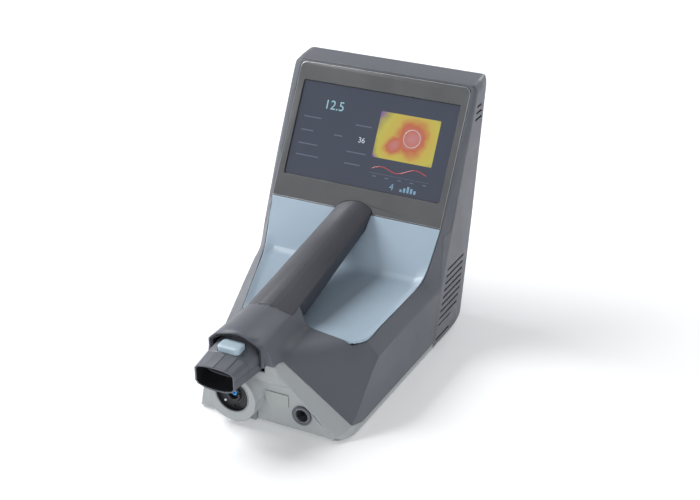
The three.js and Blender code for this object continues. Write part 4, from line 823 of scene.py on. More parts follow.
def tube(name: str, points: Sequence[Vector], radius: float, closed: bool = False) -> Piece:
    """Draws a thin round strip along points.

    Args:
        name: The piece's name.
        points: Its corners in metres.
        radius: Its radius in metres.
        closed: True where the last point joins the first.

    Returns:
        The strip as a mesh in object mode.
    """
    piece = chain(name, points)
    if closed:
        bpy.ops.mesh.select_all(action="SELECT")
        weld()
    leave()
    bpy.ops.object.convert(target="CURVE")
    piece = bpy.context.object
    piece.data.bevel_depth = radius
    piece.data.bevel_resolution = 2
    piece.data.use_fill_caps = True
    bpy.ops.object.convert(target="MESH")
    return bpy.context.object


def soften(piece: Piece, width: float, segments: int = 2, angle: float = 35.0) -> None:
    """Bevels the sharp edges of a piece.

    Args:
        piece: The piece in object mode.
        width: Width of the bevel in metres.
        segments: Facets of the bevel.
        angle: Least angle of a sharp edge in degrees.
    """
    take(piece)
    bevel = piece.modifiers.new("edges", "BEVEL")
    bevel.width = width
    bevel.segments = segments
    bevel.limit_method = "ANGLE"
    bevel.angle_limit = math.radians(angle)
    bpy.ops.object.modifier_apply(modifier=bevel.name)


def pair_faces(piece: Piece, bend: float = 6.0, skew: float = 120.0) -> None:
    """Joins triangles into quads, so that smooth shading runs evenly over them.

    Args:
        piece: The piece in object mode.
        bend: Greatest angle between two triangles that join, in degrees.
        skew: Greatest distortion of a quad, in degrees.
    """
    edit(piece)
    bpy.ops.mesh.tris_convert_to_quads(
        face_threshold=math.radians(bend), shape_threshold=math.radians(skew),
    )
    leave()


def settle(piece: Piece, place: Matrix | Vector) -> None:
    """Puts a piece in its place.

    Args:
        piece: The piece, made round the origin.
        place: Its place, or its place and turn.
    """
    take(piece)
    piece.matrix_world = Matrix.Translation(place) if isinstance(place, Vector) else place
    bpy.ops.object.transform_apply(location=True, rotation=True, scale=True)


def carve(piece: Piece, tool: Piece) -> None:
    """Cuts a tool out of a piece and takes the tool away.

    Args:
        piece: The piece in object mode.
        tool: A closed mesh in its place.
    """
    take(piece)
    cut = piece.modifiers.new("cut", "BOOLEAN")
    cut.operation = "DIFFERENCE"
    cut.solver = "EXACT"
    cut.object = tool
    bpy.ops.object.modifier_apply(modifier=cut.name)
    bpy.data.objects.remove(tool, do_unlink=True)


def stick(piece: Piece, skin: Piece, start: Vector, toward: Vector) -> None:
    """Lays a flat piece on a skin, where a line meets it.

    Args:
        piece: The piece, made flat round the origin.
        skin: The piece that it lies on.
        start: Where the line starts, in metres.
        toward: The way the line goes.
    """
    _, place, normal, _ = skin.ray_cast(start, toward)
    side = UP.cross(normal).normalized()
    turn = Matrix((side, normal.cross(side), normal)).transposed()
    settle(piece, Matrix.Translation(place) @ turn.to_4x4())


def smooth(piece: Piece, angle: float = 35.0) -> None:
    """Shades a piece smooth and keeps its flat faces flat.

    Args:
        piece: The piece in object mode.
        angle: Greatest angle of a smooth edge in degrees.
    """
    take(piece)
    bpy.ops.object.shade_smooth_by_angle(angle=math.radians(angle))
    flat = piece.modifiers.new("flat_faces", "WEIGHTED_NORMAL")
    flat.keep_sharp = True
    bpy.ops.object.modifier_apply(modifier=flat.name)


def dress(
    piece: Piece, slot: Slot, finish: Finish | None = None, body: Body = Body.HOUSING,
    replaces: Sequence[str] = (),
) -> None:
    """Gives a piece its finish and the body that it rides on.

    Args:
        piece: The finished piece.
        slot: The record's slot that its finish belongs to.
        finish: A finish of its own, where it isn't the slot's.
        body: The body that carries it.
        replaces: Names of the solids that it stands for.
    """
    smooth(piece)
    piece.data.materials.clear()
    piece.data.materials.append((finish or FINISHES[slot]).material())
    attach(piece, body.value)
    if replaces:
        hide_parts(*replaces)
    LOG.info("%s rides on %s", piece.name, body.value)


def turned(
    name: str, profile: Profile, steps: int, place: Vector, slot: Slot, finish: Finish | None = None,
    replaces: Sequence[str] = (), tools: Sequence[Piece] = (), upright: bool = False,
) -> None:
    """Turns, places and dresses a round piece of the housing.

    Args:
        name: The piece's name.
        profile: Pairs of radius and distance along the axis, in millimetres.
        steps: Facets round the piece.
        place: Where the profile's origin goes.
        slot: The record's slot that its finish belongs to.
        finish: A finish of its own, where it isn't the slot's.
        replaces: Names of the solids that it stands for.
        tools: Closed meshes round the origin that are cut out of it.
        upright: True for an axis that points up, false for one that points to the back.
    """
    piece = spin(name, profile, steps, upright)
    for tool in tools:
        carve(piece, tool)
    settle(piece, place)
    dress(piece, slot, finish, replaces=replaces)


# Sub-assemblies


@dataclass
class Assembly:
    """What every sub-assembly needs: the loaded frame and its layout."""

    frame: dict
    layout: Layout

    def carry(
        self, node: str, slot: Slot, finish: Finish | None = None, body: Body = Body.HOUSING,
        shape: Callable[[Piece], None] | None = None,
    ) -> Piece:
        """Makes a smooth twin of a solid and lets it stand for the solid.

        Args:
            node: The solid's name.
            slot: The record's slot that its finish belongs to.
            finish: A finish of its own, where it isn't the slot's.
            body: The body that carries it.
            shape: Work on the twin's form, done before it is dressed.

        Returns:
            The twin.
        """
        source = self.frame["nodes"][node]
        twin = bpy.data.objects.new(f"{node}_skin", source.data.copy())
        bpy.context.collection.objects.link(twin)
        edit(twin)
        weld()
        leave()
        if shape is not None:
            shape(twin)
        dress(twin, slot, finish, body, [node])
        return twin

    def carry_all(self, nodes: Nodes, body: Body = Body.HOUSING) -> None:
        """Makes twins of solids that keep their form and their slot's finish."""
        for node, slot in nodes:
            self.carry(node, slot, body=body)


@dataclass
class Casing(Assembly):
    """The shells of the body: hood, rear cover, base, tray and carry handle."""

    shells: Nodes = (
        ("front_housing", Slot.HOOD), ("rear_cover", Slot.SIDE), ("base_shell", Slot.PALE),
        ("handle_cover", Slot.HOOD), ("handle_grip", Slot.GRIP), ("dock_gasket", Slot.RUBBER),
        ("dock_cradle", Slot.GRIP),
    )
    rim_z: float = 68.0
    rim_band: float = 0.8
    floor_front_y: float = 82.0
    floor_z: float = 64.6
    floor_rise: float = 0.02
    fold_blend: float = 7.0
    fold_free_y: float = 185.0
    fold_free_band: float = 10.0
    fold_start_y: float = 192.0
    fold_pitch: float = 2.0
    fold_rows: int = 13
    probe_height: float = 1000.0

    def lift(self, y: float, z: float) -> float:
        """Gives how far a point of the tray rises to the plane of its floor.

        Args:
            y: Its distance back in millimetres.
            z: Height of the tray there in millimetres.

        Returns:
            The rise in millimetres, none along the rim.
        """
        level = self.floor_z + self.floor_rise * (y - self.floor_front_y)
        overlap = max(self.fold_blend - abs(level - z), 0.0) / self.fold_blend
        raised = max(level, z) + overlap * overlap * self.fold_blend / 4
        inside = min(max((self.rim_z - z) / self.rim_band, 0.0), 1.0)
        behind = min(max((y - self.fold_free_y) / self.fold_free_band, 0.0), 1.0)
        return (raised - z) * max(inside, behind)

    def scoop(self, tray: Piece) -> None:
        """Adds rows where the tray folds and lays its floor level behind the nose.

        Args:
            tray: The twin of the tray.
        """
        solid = self.frame["nodes"]["tray"]
        edit(tray)
        for row in range(self.fold_rows):
            bpy.ops.mesh.select_all(action="SELECT")
            place = self.layout.at(0.0, self.fold_start_y + row * self.fold_pitch, 0.0)
            bpy.ops.mesh.bisect(plane_co=place, plane_no=BACK)
        leave()
        for vertex in tray.data.vertices:
            start = Vector((vertex.co.x, vertex.co.y, self.probe_height * MM))
            met, place, _, _ = solid.ray_cast(start, -UP)
            if met:
                y = (place.y - self.layout.front) / MM
                vertex.co.z += self.lift(y, place.z / MM - self.layout.floor) * MM

    def build(self) -> None:
        """Dresses every shell."""
        self.carry("tray", Slot.TRAY, shape=self.scoop)
        for node, slot in self.shells:
            finish = HANDLE if node == "handle_cover" else None
            self.carry(node, slot, finish, shape=pair_faces if slot is Slot.HOOD else None)


@dataclass
class Display(Assembly):
    """The bezel, glass and the plain marks that the lit panel shows."""

    panels: Nodes = (
        ("display_bezel", Slot.BEZEL), ("display_glass", Slot.GLASS), ("display_module", Slot.BLACK),
        ("display_board", Slot.BOARD),
    )
    foot_y: float = 238.3
    foot_z: float = 111.5
    tilt: float = 30.0
    window_foot: float = 24.26
    window_width: float = 176.64
    window_height: float = 99.4
    glass_depth: float = 1.9
    seal_width: float = 0.7
    seal_thickness: float = 0.5
    seal_corner: float = 1.4
    seal_edge: float = 0.12
    seal_out: float = 0.26
    bezel_half_width: float = 95.6
    bezel_top: float = 118.04
    bezel_corner: float = 7.0
    corner_steps: int = 6
    handle_room: float = 24.0
    line_radius: float = 0.32
    line_inset: float = 0.45
    line_sink: float = 0.4

    mark_height: float = 0.12
    mark_out: float = 0.06
    stroke_out: float = 0.12
    numbers: Sequence[tuple[str, str, float, Pair, Finish]] = (
        ("time_number", "12.5", 13.5, (-60.0, 73.0), CYAN_LIGHT),
        ("count_number", "36", 8.0, (-14.0, 45.0), WHITE_LIGHT),
        ("step_number", "4", 9.5, (31.0, 4.0), BLUE_LIGHT),
    )
    row_height: float = 1.3
    rows: Sequence[Point] = (
        (-80.0, 20.0, 62.0), (-20.0, 18.0, 62.0), (-80.0, 14.0, 48.0), (-42.0, 10.0, 48.0),
        (-80.0, 22.0, 34.0), (-24.0, 22.0, 34.0), (-80.0, 26.0, 22.0), (-24.0, 18.0, 22.0),
    )
    level_start: Pair = (44.0, 4.0)
    level_width: float = 2.4
    level_pitch: float = 3.8
    levels: Sequence[float] = (2.6, 4.4, 6.4, 5.0, 3.6)
    heat_color: Color = (0.04, 0.04, 0.05)
    heat_size: Pair = (66.0, 47.0)
    heat_middle: Pair = (38.0, 57.0)
    heat_corner: float = 0.02
    heat_reach: float = 42.0
    hot_spot: Pair = (44.0, 58.0)
    warm_spot: Pair = (26.0, 48.0)
    ring_radius: float = 9.0
    ring_steps: int = 32
    ring_width: float = 0.5
    curve_start: Pair = (8.0, 22.0)
    curve_pitch: float = 2.5
    curve_swing: float = 2.6
    curve_bend: float = 0.42
    curve_climb: float = 0.16
    curve_points: int = 25
    curve_width: float = 0.8
    axis_ends: Profile = ((6.0, 17.5), (72.0, 17.5))
    axis_width: float = 0.4
    tick_start: Pair = (12.0, 14.6)
    tick_size: Pair = (4.0, 1.2)
    tick_pitch: float = 14.0
    ticks: int = 5

    def face(self, place: Pair, out: float) -> Matrix:
        """Gives the place and turn of a mark on the glass.

        Args:
            place: Distance right of the window's middle and up from its lower edge, in millimetres.
            out: Distance in front of the glass, in millimetres.

        Returns:
            The place, with X to the right, Y up the glass and Z out of it.
        """
        tilt = math.radians(self.tilt)
        up = Vector((0.0, math.sin(tilt), math.cos(tilt)))
        outward = Vector((0.0, -math.cos(tilt), math.sin(tilt)))
        foot = self.layout.at(place[0], self.foot_y, self.foot_z)
        rise = up * ((place[1] + self.window_foot) * MM)
        turn = Matrix((RIGHT, up, outward)).transposed()
        return Matrix.Translation(foot + rise + outward * ((out - self.glass_depth) * MM)) @ turn.to_4x4()

    def show(self, piece: Piece, place: Pair, out: float, light: Finish) -> None:
        """Puts a mark that is flat round the origin on the glass and lights it."""
        settle(piece, self.face(place, out))
        dress(piece, Slot.GLASS, light)

    def number(self, name: str, text: str, size: float, place: Pair, light: Finish) -> None:
        """Adds a plain number.

        Args:
            name: The piece's name.
            text: The number.
            size: Height of the type in millimetres.
            place: Its left end and base line on the glass in millimetres.
            light: Its finish.
        """
        deselect()
        bpy.ops.object.text_add()
        piece = bpy.context.object
        piece.name = name
        piece.data.body = text
        piece.data.size = size * MM
        piece.data.extrude = self.mark_height * MM / 2
        bpy.ops.object.convert(target="MESH")
        piece = bpy.context.object
        edit(piece)
        weld()
        bpy.ops.mesh.normals_make_consistent(inside=False)
        leave()
        self.show(piece, place, self.mark_out, light)

    def tile(self, name: str, size: Pair, place: Pair, light: Finish, corner_share: float = 0.12) -> None:
        """Adds a lit tile.

        Args:
            name: The piece's name.
            size: Its width and height in millimetres.
            place: Its middle on the glass in millimetres.
            light: Its finish.
            corner_share: Radius of its corners, as a share of its shorter side.
        """
        box = (size[0] * MM, size[1] * MM, self.mark_height * MM)
        piece = pad(name, box, min(size) * corner_share * MM, steps=3)
        self.show(piece, place, self.mark_out, light)

    def stroke(self, name: str, points: Profile, width: float, light: Finish, closed: bool = False) -> None:
        """Adds a lit line.

        Args:
            name: The piece's name.
            points: Its corners on the glass in millimetres.
            width: Its width in millimetres.
            light: Its finish.
            closed: True where the last point joins the first.
        """
        piece = tube(name, flat_points(points), width * MM / 2, closed)
        self.show(piece, (0.0, 0.0), self.stroke_out, light)

    def seal(self) -> None:
        """Adds the dark seal round the inside of the window."""
        size = (self.window_width * MM, self.window_height * MM, self.seal_thickness * MM)
        piece = pad("window_seal", size, self.seal_corner * MM)
        edit(piece)
        pick_faces(piece, lambda centre, normal: abs(normal.z) > FACING)
        bpy.ops.mesh.inset(thickness=self.seal_width * MM, depth=0.0)
        bpy.ops.mesh.bridge_edge_loops()
        leave()
        soften(piece, self.seal_edge * MM)
        settle(piece, self.face((0.0, self.window_height / 2), self.seal_out))
        dress(piece, Slot.BLACK)

    def edge_line(self) -> None:
        """Lays a bright strip along the bezel's edge, a painted highlight, open where the handle passes."""
        side = self.bezel_half_width - self.line_inset
        foot = -self.window_foot + self.line_inset
        head = self.bezel_top - self.line_inset
        middle = (side - self.bezel_corner, head - self.bezel_corner)
        corner = arc(self.bezel_corner, middle, self.corner_steps, math.pi / 2)
        half = [(self.handle_room, foot), (side, foot), *corner]
        points = half + [(-u, v) for u, v in reversed(half)]
        # The light metallic strip is a painted highlight along the bezel's edge.
        piece = tube("bezel_highlight_line", flat_points(points), self.line_radius * MM)
        settle(piece, self.face((0.0, 0.0), self.glass_depth - self.line_radius * self.line_sink))
        dress(piece, Slot.BEZEL, BRIGHT_LINE)

    def readings(self) -> None:
        """Adds plain numbers, rows of bars and the bars of the level."""
        for number in self.numbers:
            self.number(*number)
        for i, (left, length, level) in enumerate(self.rows):
            place = (left + length / 2, level)
            self.tile(f"row_bar_{i + 1}", (length, self.row_height), place, FAINT_LIGHT)
        left, foot = self.level_start
        for i, height in enumerate(self.levels):
            place = (left + i * self.level_pitch, foot + height / 2)
            self.tile(f"level_bar_{i + 1}", (self.level_width, height), place, BLUE_LIGHT)

    def heat(self) -> None:
        """Adds the field of heat colours with a ring round its hot spot."""
        hot, warm = (tuple(self.face(place, 0.0).translation) for place in (self.hot_spot, self.warm_spot))
        light = HeatField("heat_field_light", self.heat_color, hot, warm, self.heat_reach * MM)
        self.tile("heat_field", self.heat_size, self.heat_middle, light, self.heat_corner)
        ring = arc(self.ring_radius, self.hot_spot, self.ring_steps)
        self.stroke("target_ring", ring, self.ring_width, WHITE_LIGHT, closed=True)

    def chart(self) -> None:
        """Adds a curve over its axis and marks."""
        left, foot = self.curve_start
        curve = [
            (
                left + i * self.curve_pitch,
                foot + self.curve_swing * math.sin(i * self.curve_bend) + self.curve_climb * i,
            )
            for i in range(self.curve_points)
        ]
        self.stroke("dose_curve", curve, self.curve_width, RED_LIGHT)
        self.stroke("curve_axis", self.axis_ends, self.axis_width, FAINT_LIGHT)
        left, level = self.tick_start
        for i in range(self.ticks):
            place = (left + i * self.tick_pitch, level)
            self.tile(f"axis_mark_{i + 1}", self.tick_size, place, FAINT_LIGHT)

    def build(self) -> None:
        """Builds the bezel, glass, seal and marks."""
        self.carry_all(self.panels)
        self.seal()
        self.edge_line()
        self.readings()
        self.heat()
        self.chart()


@dataclass
class Handpiece(Assembly):
    """The handpiece in its dock, with the optic behind its open mouth and the trigger on top."""

    shells: Nodes = (
        ("handpiece_upper_shell", Slot.HOOD), ("handpiece_lower_shell", Slot.HOOD),
        ("trigger_switch", Slot.BLACK), ("optic_barrel", Slot.SILVER), ("optic_lens", Slot.LENS),
    )
    button_y: float = 0.5
    button_size: Point = (23.0, 15.5, 7.0)
    button_base: float = 77.6
    button_corner: float = 4.5
    button_steps: int = 8
    button_edge: float = 0.35
    button_edge_steps: int = 3
    button_edge_angle: float = 50.0
    crown_radius: float = 34.0
    crown_gain: float = 1.6
    crown_insets: Sequence[float] = (0.5, 1.2, 2.2, 3.4)
    well_wall: float = 2.4
    well_draft: float = 0.2
    well_depth: float = 4.4
    groove_radius: float = 0.5
    groove_front: float = -28.6
    groove_back: float = -9.6
    groove_overrun: float = 0.1
    shoulder_x: float = 12.5
    flank_z: float = 66.0
    probe_x: float = 60.0
    probe_z: float = 100.0
    optic_z: float = 65.9
    inward: float = 0.2

    def crown_drop(self, inset: float) -> float:
        """Gives how far the crown lies below its top, a distance inside the button's short edge."""
        reach = self.button_size[1] / 2 - inset
        return self.crown_radius - math.sqrt(self.crown_radius ** 2 - reach ** 2)

    def button(self) -> None:
        """Models the trigger: a crowned cap with a well under it for the switch."""
        width, length, height = self.button_size
        side = height - self.crown_drop(0.0) * self.crown_gain
        size = (width * MM, length * MM, side * MM)
        piece = pad("trigger_cap", size, self.button_corner * MM, self.button_steps)
        edit(piece)
        pick_faces(piece, lambda centre, normal: normal.z > FACING)
        before = 0.0
        for inset in self.crown_insets:
            rise = (self.crown_drop(before) - self.crown_drop(inset)) * self.crown_gain
            bpy.ops.mesh.inset(thickness=(inset - before) * MM, depth=rise * MM)
            before = inset
        pick_faces(piece, lambda centre, normal: normal.z < -FACING)
        bpy.ops.mesh.inset(thickness=self.well_wall * MM, depth=0.0)
        bpy.ops.mesh.inset(thickness=self.well_draft * MM, depth=-self.well_depth * MM)
        leave()
        soften(piece, self.button_edge * MM, self.button_edge_steps, self.button_edge_angle)
        settle(piece, self.layout.at(0.0, self.button_y, self.button_base + side / 2))
        dress(piece, Slot.BUTTON, body=Body.TRIGGER, replaces=["trigger_button"])

    def darken(self, nozzle: Piece) -> None:
        """Gives the faces inside the nozzle, those that face its axis, the black plastic finish.

        Args:
            nozzle: The dressed twin of the nozzle.
        """
        nozzle.data.materials.append(FINISHES[Slot.BLACK].material())
        middle = self.layout.at(0.0, 0.0, self.optic_z)
        for face in nozzle.data.polygons:
            inward = Vector((middle.x - face.center.x, 0.0, middle.z - face.center.z))
            if inward.length > self.groove_radius * MM and face.normal.dot(inward.normalized()) > self.inward:
                face.material_index = 1

    def grooves(self, nozzle: Piece) -> None:
        """Cuts the parting grooves of the nozzle: on its crown, its shoulder and both flanks.

        Args:
            nozzle: The twin of the nozzle.
        """
        solid = self.frame["nodes"]["handpiece_nozzle"]
        for name, x, z, toward in (
            ("crown_groove", 0.0, self.probe_z, -UP), ("shoulder_groove", self.shoulder_x, self.probe_z, -UP),
            ("right_groove", self.probe_x, self.flank_z, -RIGHT),
            ("left_groove", -self.probe_x, self.flank_z, RIGHT),
        ):
            front, back = (
                solid.ray_cast(self.layout.at(x, y, z), toward)[1]
                for y in (self.groove_front, self.groove_back)
            )
            reach = (back - front) * self.groove_overrun
            carve(nozzle, tube(name, [front - reach, back + reach], self.groove_radius * MM))

    def build(self) -> None:
        """Builds shells, optic and trigger."""
        nozzle = self.carry("handpiece_nozzle", Slot.HOOD, body=Body.HANDPIECE, shape=self.grooves)
        self.darken(nozzle)
        self.carry_all(self.shells, Body.HANDPIECE)
        self.button()


@dataclass
class FrontSockets(Assembly):
    """The fibre socket in the boss, the second port and the bare plate.

    A profile pairs radius and distance back in millimetres. Keys pair their turn in degrees and their width,
    and share a length, a height and a place, which pairs distance back and distance from the axis.
    """

    inserts: Nodes = (
        ("socket_body", Slot.BLACK), ("socket_ferrule", Slot.BLUE), ("port_shell", Slot.HOOD),
        ("port_insert", Slot.BLACK), ("label_plate", Slot.FILM),
    )
    socket_x: float = -2.9
    socket_z: float = 29.4
    ring_profile: Profile = (
        (17.0, 0.1), (17.2, -0.45), (17.45, -0.6), (17.7, -0.5), (17.9, -0.1), (17.9, 5.0), (17.0, 5.0),
        (17.0, 0.1),
    )
    sleeve_profile: Profile = (
        (5.2, 2.6), (5.5, 2.2), (7.2, 2.2), (7.5, 2.6), (7.5, 4.2), (7.9, 4.2), (7.9, 5.9), (5.2, 5.9),
        (5.2, 2.6),
    )
    sleeve_keys: Profile = ((75.0, 1.8), (195.0, 1.8), (315.0, 1.8))
    sleeve_key_size: Pair = (5.0, 3.4)
    sleeve_key_place: Pair = (2.0, 7.4)
    cup_profile: Profile = (
        (8.4, 4.4), (10.4, 4.4), (10.7, 4.8), (11.1, 4.8), (11.4, 4.4), (16.4, 4.4), (16.4, 0.9),
        (16.6, 0.6), (16.95, 0.6), (16.95, 6.0), (8.4, 6.0), (8.4, 4.4),
    )
    cup_keys: Profile = ((168.0, 7.0), (70.0, 3.0), (-70.0, 3.0), (-10.0, 3.0))
    cup_key_size: Pair = (2.4, 3.6)
    cup_key_place: Pair = (4.4, 13.6)
    peg_place: Point = (-9.6, 4.0, -9.9)
    peg_profile: Profile = ((0.0, -0.9), (0.7, -0.8), (1.15, -0.3), (1.2, 0.2), (1.2, 1.2), (0.0, 1.2))
    lip_profile: Profile = ((6.5, 1.0), (6.7, 0.5), (7.15, 0.5), (7.15, 2.6), (6.5, 2.6), (6.5, 1.0))

    def keys(self, keys: Profile, size: Pair, place: Pair) -> list[Piece]:
        """Makes the blocks that cut keyways.

        Args:
            keys: Pairs of turn and width.
            size: Their length and height.
            place: Their distance back and from the axis.

        Returns:
            The blocks, set round the origin.
        """
        tools = []
        for i, (angle, width) in enumerate(keys):
            key = block(f"key_{i + 1}", (width * MM, size[0] * MM, size[1] * MM))
            turn = Matrix.Rotation(math.radians(angle), 4, "Y")
            settle(key, turn @ Matrix.Translation(Vector((0.0, *place)) * MM))
            tools.append(key)
        return tools

    def socket(self) -> None:
        """Turns the pale ring with its rolled lip, the stepped sleeve, the dark cup and the white peg."""
        middle = self.layout.at(self.socket_x, 0.0, self.socket_z)
        turned("socket_rim", self.ring_profile, 96, middle, Slot.PALE, replaces=["socket_ring"])
        keys = self.keys(self.sleeve_keys, self.sleeve_key_size, self.sleeve_key_place)
        turned("socket_sleeve", self.sleeve_profile, 72, middle, Slot.BLACK, tools=keys)
        keys = self.keys(self.cup_keys, self.cup_key_size, self.cup_key_place)
        turned("socket_cup", self.cup_profile, 96, middle, Slot.BLACK, tools=keys)
        peg = middle + Vector(self.peg_place) * MM
        turned("socket_peg", self.peg_profile, 32, peg, Slot.SILVER, WHITE_PIN)

    def port_lip(self) -> None:
        """Turns the pale lip inside the mouth of the second port."""
        low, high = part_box("port_shell")
        place = Vector(((low[0] + high[0]) / 2, low[1], (low[2] + high[2]) / 2))
        turned("port_lip", self.lip_profile, 64, place, Slot.SILVER, BRIGHT_LINE)

    def build(self) -> None:
        """Builds the socket, the port and the plate."""
        self.socket()
        self.port_lip()
        self.carry("socket_pin", Slot.SILVER, WHITE_PIN)
        self.carry_all(self.inserts)


@dataclass
class Underside(Assembly):
    """Rubber feet with two grip grooves, and case screws with a domed head, a recess and a thread."""

    feet: Sequence[str] = ("foot_front_right", "foot_front_left", "foot_rear_right", "foot_rear_left")
    screws: Sequence[str] = (
        "screw_front_right", "screw_front_left", "screw_middle_right", "screw_middle_left",
    )
    foot_profile: Profile = (
        (0.0, 0.25), (2.2, 0.25), (2.5, 0.0), (4.1, 0.0), (4.3, 0.3), (4.9, 0.3), (5.1, 0.0),
        (7.0, 0.0), (7.6, 0.25), (8.0, 0.8), (8.0, 3.7), (0.0, 3.7),
    )
    head_profile: Profile = (
        (0.0, 1.2), (1.25, 1.2), (1.4, 0.25), (2.2, 0.05), (2.8, 0.35), (3.0, 0.9), (3.0, 2.0),
        (1.6, 2.0), (1.35, 2.3),
    )
    tip_profile: Profile = ((1.2, 8.0), (0.5, 8.7), (0.0, 8.7))
    thread_crest: float = 1.6
    thread_root: float = 1.35
    thread_start: float = 2.3
    thread_pitch: float = 0.8
    thread_turns: int = 6

    def middle(self, node: str) -> Vector:
        """Gives the middle of a solid's lowest face."""
        low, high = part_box(node)
        return Vector(((low[0] + high[0]) / 2, (low[1] + high[1]) / 2, low[2]))

    def screw_profile(self) -> Profile:
        """Draws a screw from its recess to its pointed end.

        Returns:
            Pairs of radius and height in millimetres.
        """
        thread = []
        for turn in range(1, self.thread_turns + 1):
            height = self.thread_start + turn * self.thread_pitch
            thread += [(self.thread_crest, height - self.thread_pitch / 2), (self.thread_root, height)]
        return [*self.head_profile, *thread, *self.tip_profile]

    def build(self) -> None:
        """Turns feet and screws."""
        for node in self.feet:
            place = self.middle(node)
            turned(
                f"{node}_pad", self.foot_profile, 64, place, Slot.RUBBER, replaces=[node], upright=True,
            )
        for node in self.screws:
            place = self.middle(node)
            turned(
                f"{node}_head", self.screw_profile(), 36, place, Slot.STEEL, replaces=[node], upright=True,
            )


@dataclass
class Innards(Assembly):
    """Chassis, power supply, laser, boards, handle bar and the parts on the rear wall."""

    fixed: Nodes = (
        ("handle_bar", Slot.STEEL), ("chassis_plate", Slot.STEEL), ("power_supply", Slot.STEEL),
        ("heat_sink", Slot.SILVER), ("laser_module", Slot.STEEL), ("main_board", Slot.BOARD),
        ("fan_frame", Slot.BLACK), ("mains_inlet", Slot.BLACK), ("switch_frame", Slot.BLACK),
    )
    mark_reach: float = 0.27
    bar_size: Point = (0.7, 3.4, 0.16)
    bar_corner: float = 0.2
    ring_radius: float = 1.5
    ring_steps: int = 24
    ring_line: float = 0.22
    probe_y: float = 50.0

    def rocker(self) -> None:
        """Dresses the rocker and prints its line and ring, the usual marks for on and off."""
        skin = self.carry("rocker_switch", Slot.BLACK, body=Body.ROCKER)
        low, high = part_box("rocker_switch")
        middle = (Vector(low) + Vector(high)) / 2
        reach = (high[0] - low[0]) * self.mark_reach
        bar = pad("rocker_line_mark", tuple(Vector(self.bar_size) * MM), self.bar_corner * MM)
        loop = flat_points(arc(self.ring_radius, (0.0, 0.0), self.ring_steps))
        ring = tube("rocker_ring_mark", loop, self.ring_line * MM, closed=True)
        for mark, side in ((bar, reach), (ring, -reach)):
            stick(mark, skin, middle + Vector((side, self.probe_y * MM, 0.0)), -BACK)
            dress(mark, Slot.BLACK, MARK_PAINT, Body.ROCKER)

    def build(self) -> None:
        """Dresses what stands inside and on the rear wall."""
        self.carry_all(self.fixed)
        self.carry("fan_rotor", Slot.GRIP, body=Body.FAN)
        self.rocker()


# Stage


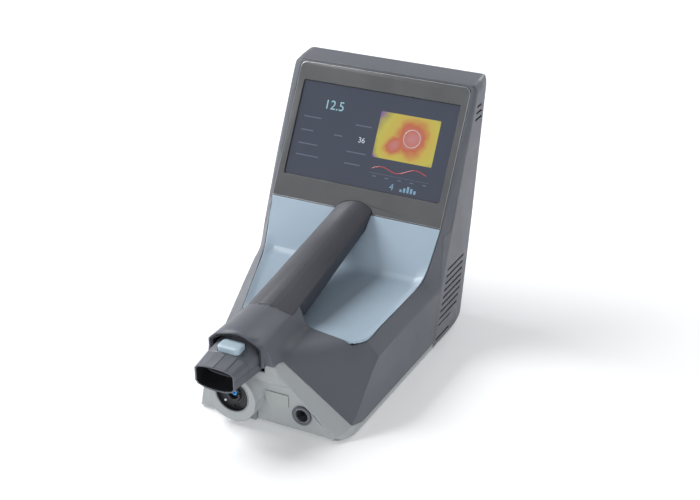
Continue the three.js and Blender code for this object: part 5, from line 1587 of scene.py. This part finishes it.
@dataclass(frozen=True)
class Studio:
    """Pale floor, soft light and the camera."""

    layout: Layout
    azimuth: float = 28.182
    elevation: float = 27.256
    roll: float = -1.1547
    focal: float = 1451.54
    distance: float = 1329.5
    aim: Pair = (236.097, 422.938)
    middle: Pair = (350.0, 250.0)
    frame_width: float = 700.0
    sensor: float = 36.0
    sky_color: Color = (0.94, 0.96, 1.0)
    horizon_sky: float = 0.85
    zenith_sky: float = 0.16
    zenith_height: float = 0.75
    floor_width: float = 60.0
    light_aim: Point = (0.0, 0.0, 0.1)
    lights: Sequence[tuple[str, Point, float, float]] = (
        ("key_light", (-1.15, 0.08, 1.2), 0.85, 28.0),
        ("back_light", (0.3, 2.2, 1.2), 1.2, 26.0),
        ("front_light", (0.3, -2.0, 0.6), 1.2, 12.0),
        ("side_light", (1.6, -0.1, 0.5), 0.9, 3.0),
    )

    def camera(self) -> None:
        """Places the camera, from where the base's front edge shows in a frame of 700 by 500."""
        azimuth, elevation, roll = (math.radians(v) for v in (self.azimuth, self.elevation, self.roll))
        right = Vector((math.cos(azimuth), math.sin(azimuth), 0.0))
        back = Vector((
            math.sin(azimuth) * math.cos(elevation), -math.cos(azimuth) * math.cos(elevation),
            math.sin(elevation),
        ))
        up = back.cross(right)
        across = right * math.cos(roll) + up * math.sin(roll)
        upward = up * math.cos(roll) - right * math.sin(roll)
        turn = Matrix((across, upward, back)).transposed()
        offset = Vector((
            (self.aim[0] - self.middle[0]) / self.focal * self.distance,
            -(self.aim[1] - self.middle[1]) / self.focal * self.distance, -self.distance,
        ))
        data = bpy.data.cameras.new("studio_camera")
        data.sensor_width = self.sensor
        data.lens = self.focal / self.frame_width * self.sensor
        camera = bpy.data.objects.new("studio_camera", data)
        place = self.layout.at(0.0, 0.0, 0.0) - (turn @ offset) * MM
        camera.matrix_world = Matrix.Translation(place) @ turn.to_4x4()
        bpy.context.collection.objects.link(camera)
        bpy.context.scene.camera = camera

    def light(self, name: str, place: Point, size: float, power: float) -> None:
        """Hangs a soft square light that points at the device.

        Args:
            name: Its name.
            place: Where it hangs, in metres.
            size: Width of its face in metres.
            power: Its power in watts.
        """
        data = bpy.data.lights.new(name, "AREA")
        data.size = size
        data.energy = power
        lamp = bpy.data.objects.new(name, data)
        lamp.location = place
        lamp.rotation_euler = (Vector(self.light_aim) - Vector(place)).to_track_quat("-Z", "Y").to_euler()
        bpy.context.collection.objects.link(lamp)

    def floor(self) -> None:
        """Lays the pale floor."""
        deselect()
        bpy.ops.mesh.primitive_plane_add(size=self.floor_width)
        ground = bpy.context.object
        ground.name = "studio_floor"
        ground.data.materials.append(FLOOR.material())

    def sky(self) -> None:
        """Fills the sky: bright round the horizon and dim overhead."""
        world = bpy.data.worlds.new("studio_sky")
        bpy.context.scene.world = world
        tree = Tree(world)
        parts = tree.add("ShaderNodeSeparateXYZ", {"Vector": tree.coordinates["Generated"]})
        glow = tree.spread(parts.outputs["Z"], self.horizon_sky, self.zenith_sky, 0.0, self.zenith_height)
        tree.feed("Color", self.sky_color)
        tree.feed("Strength", glow)

    def build(self) -> None:
        """Sets up camera, floor, sky and lights."""
        self.camera()
        self.floor()
        self.sky()
        bpy.context.scene.view_settings.view_transform = "Standard"
        for light in self.lights:
            self.light(*light)


def main() -> None:
    """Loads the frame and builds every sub-assembly."""
    logging.basicConfig(level=logging.INFO, format="%(message)s")
    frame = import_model()
    layout = Layout.read()
    Studio(layout).build()
    for part in (Casing, Display, Handpiece, FrontSockets, Underside, Innards):
        part(frame, layout).build()
        LOG.info("%s done", part.__name__)


if __name__ == "__main__":
    main()
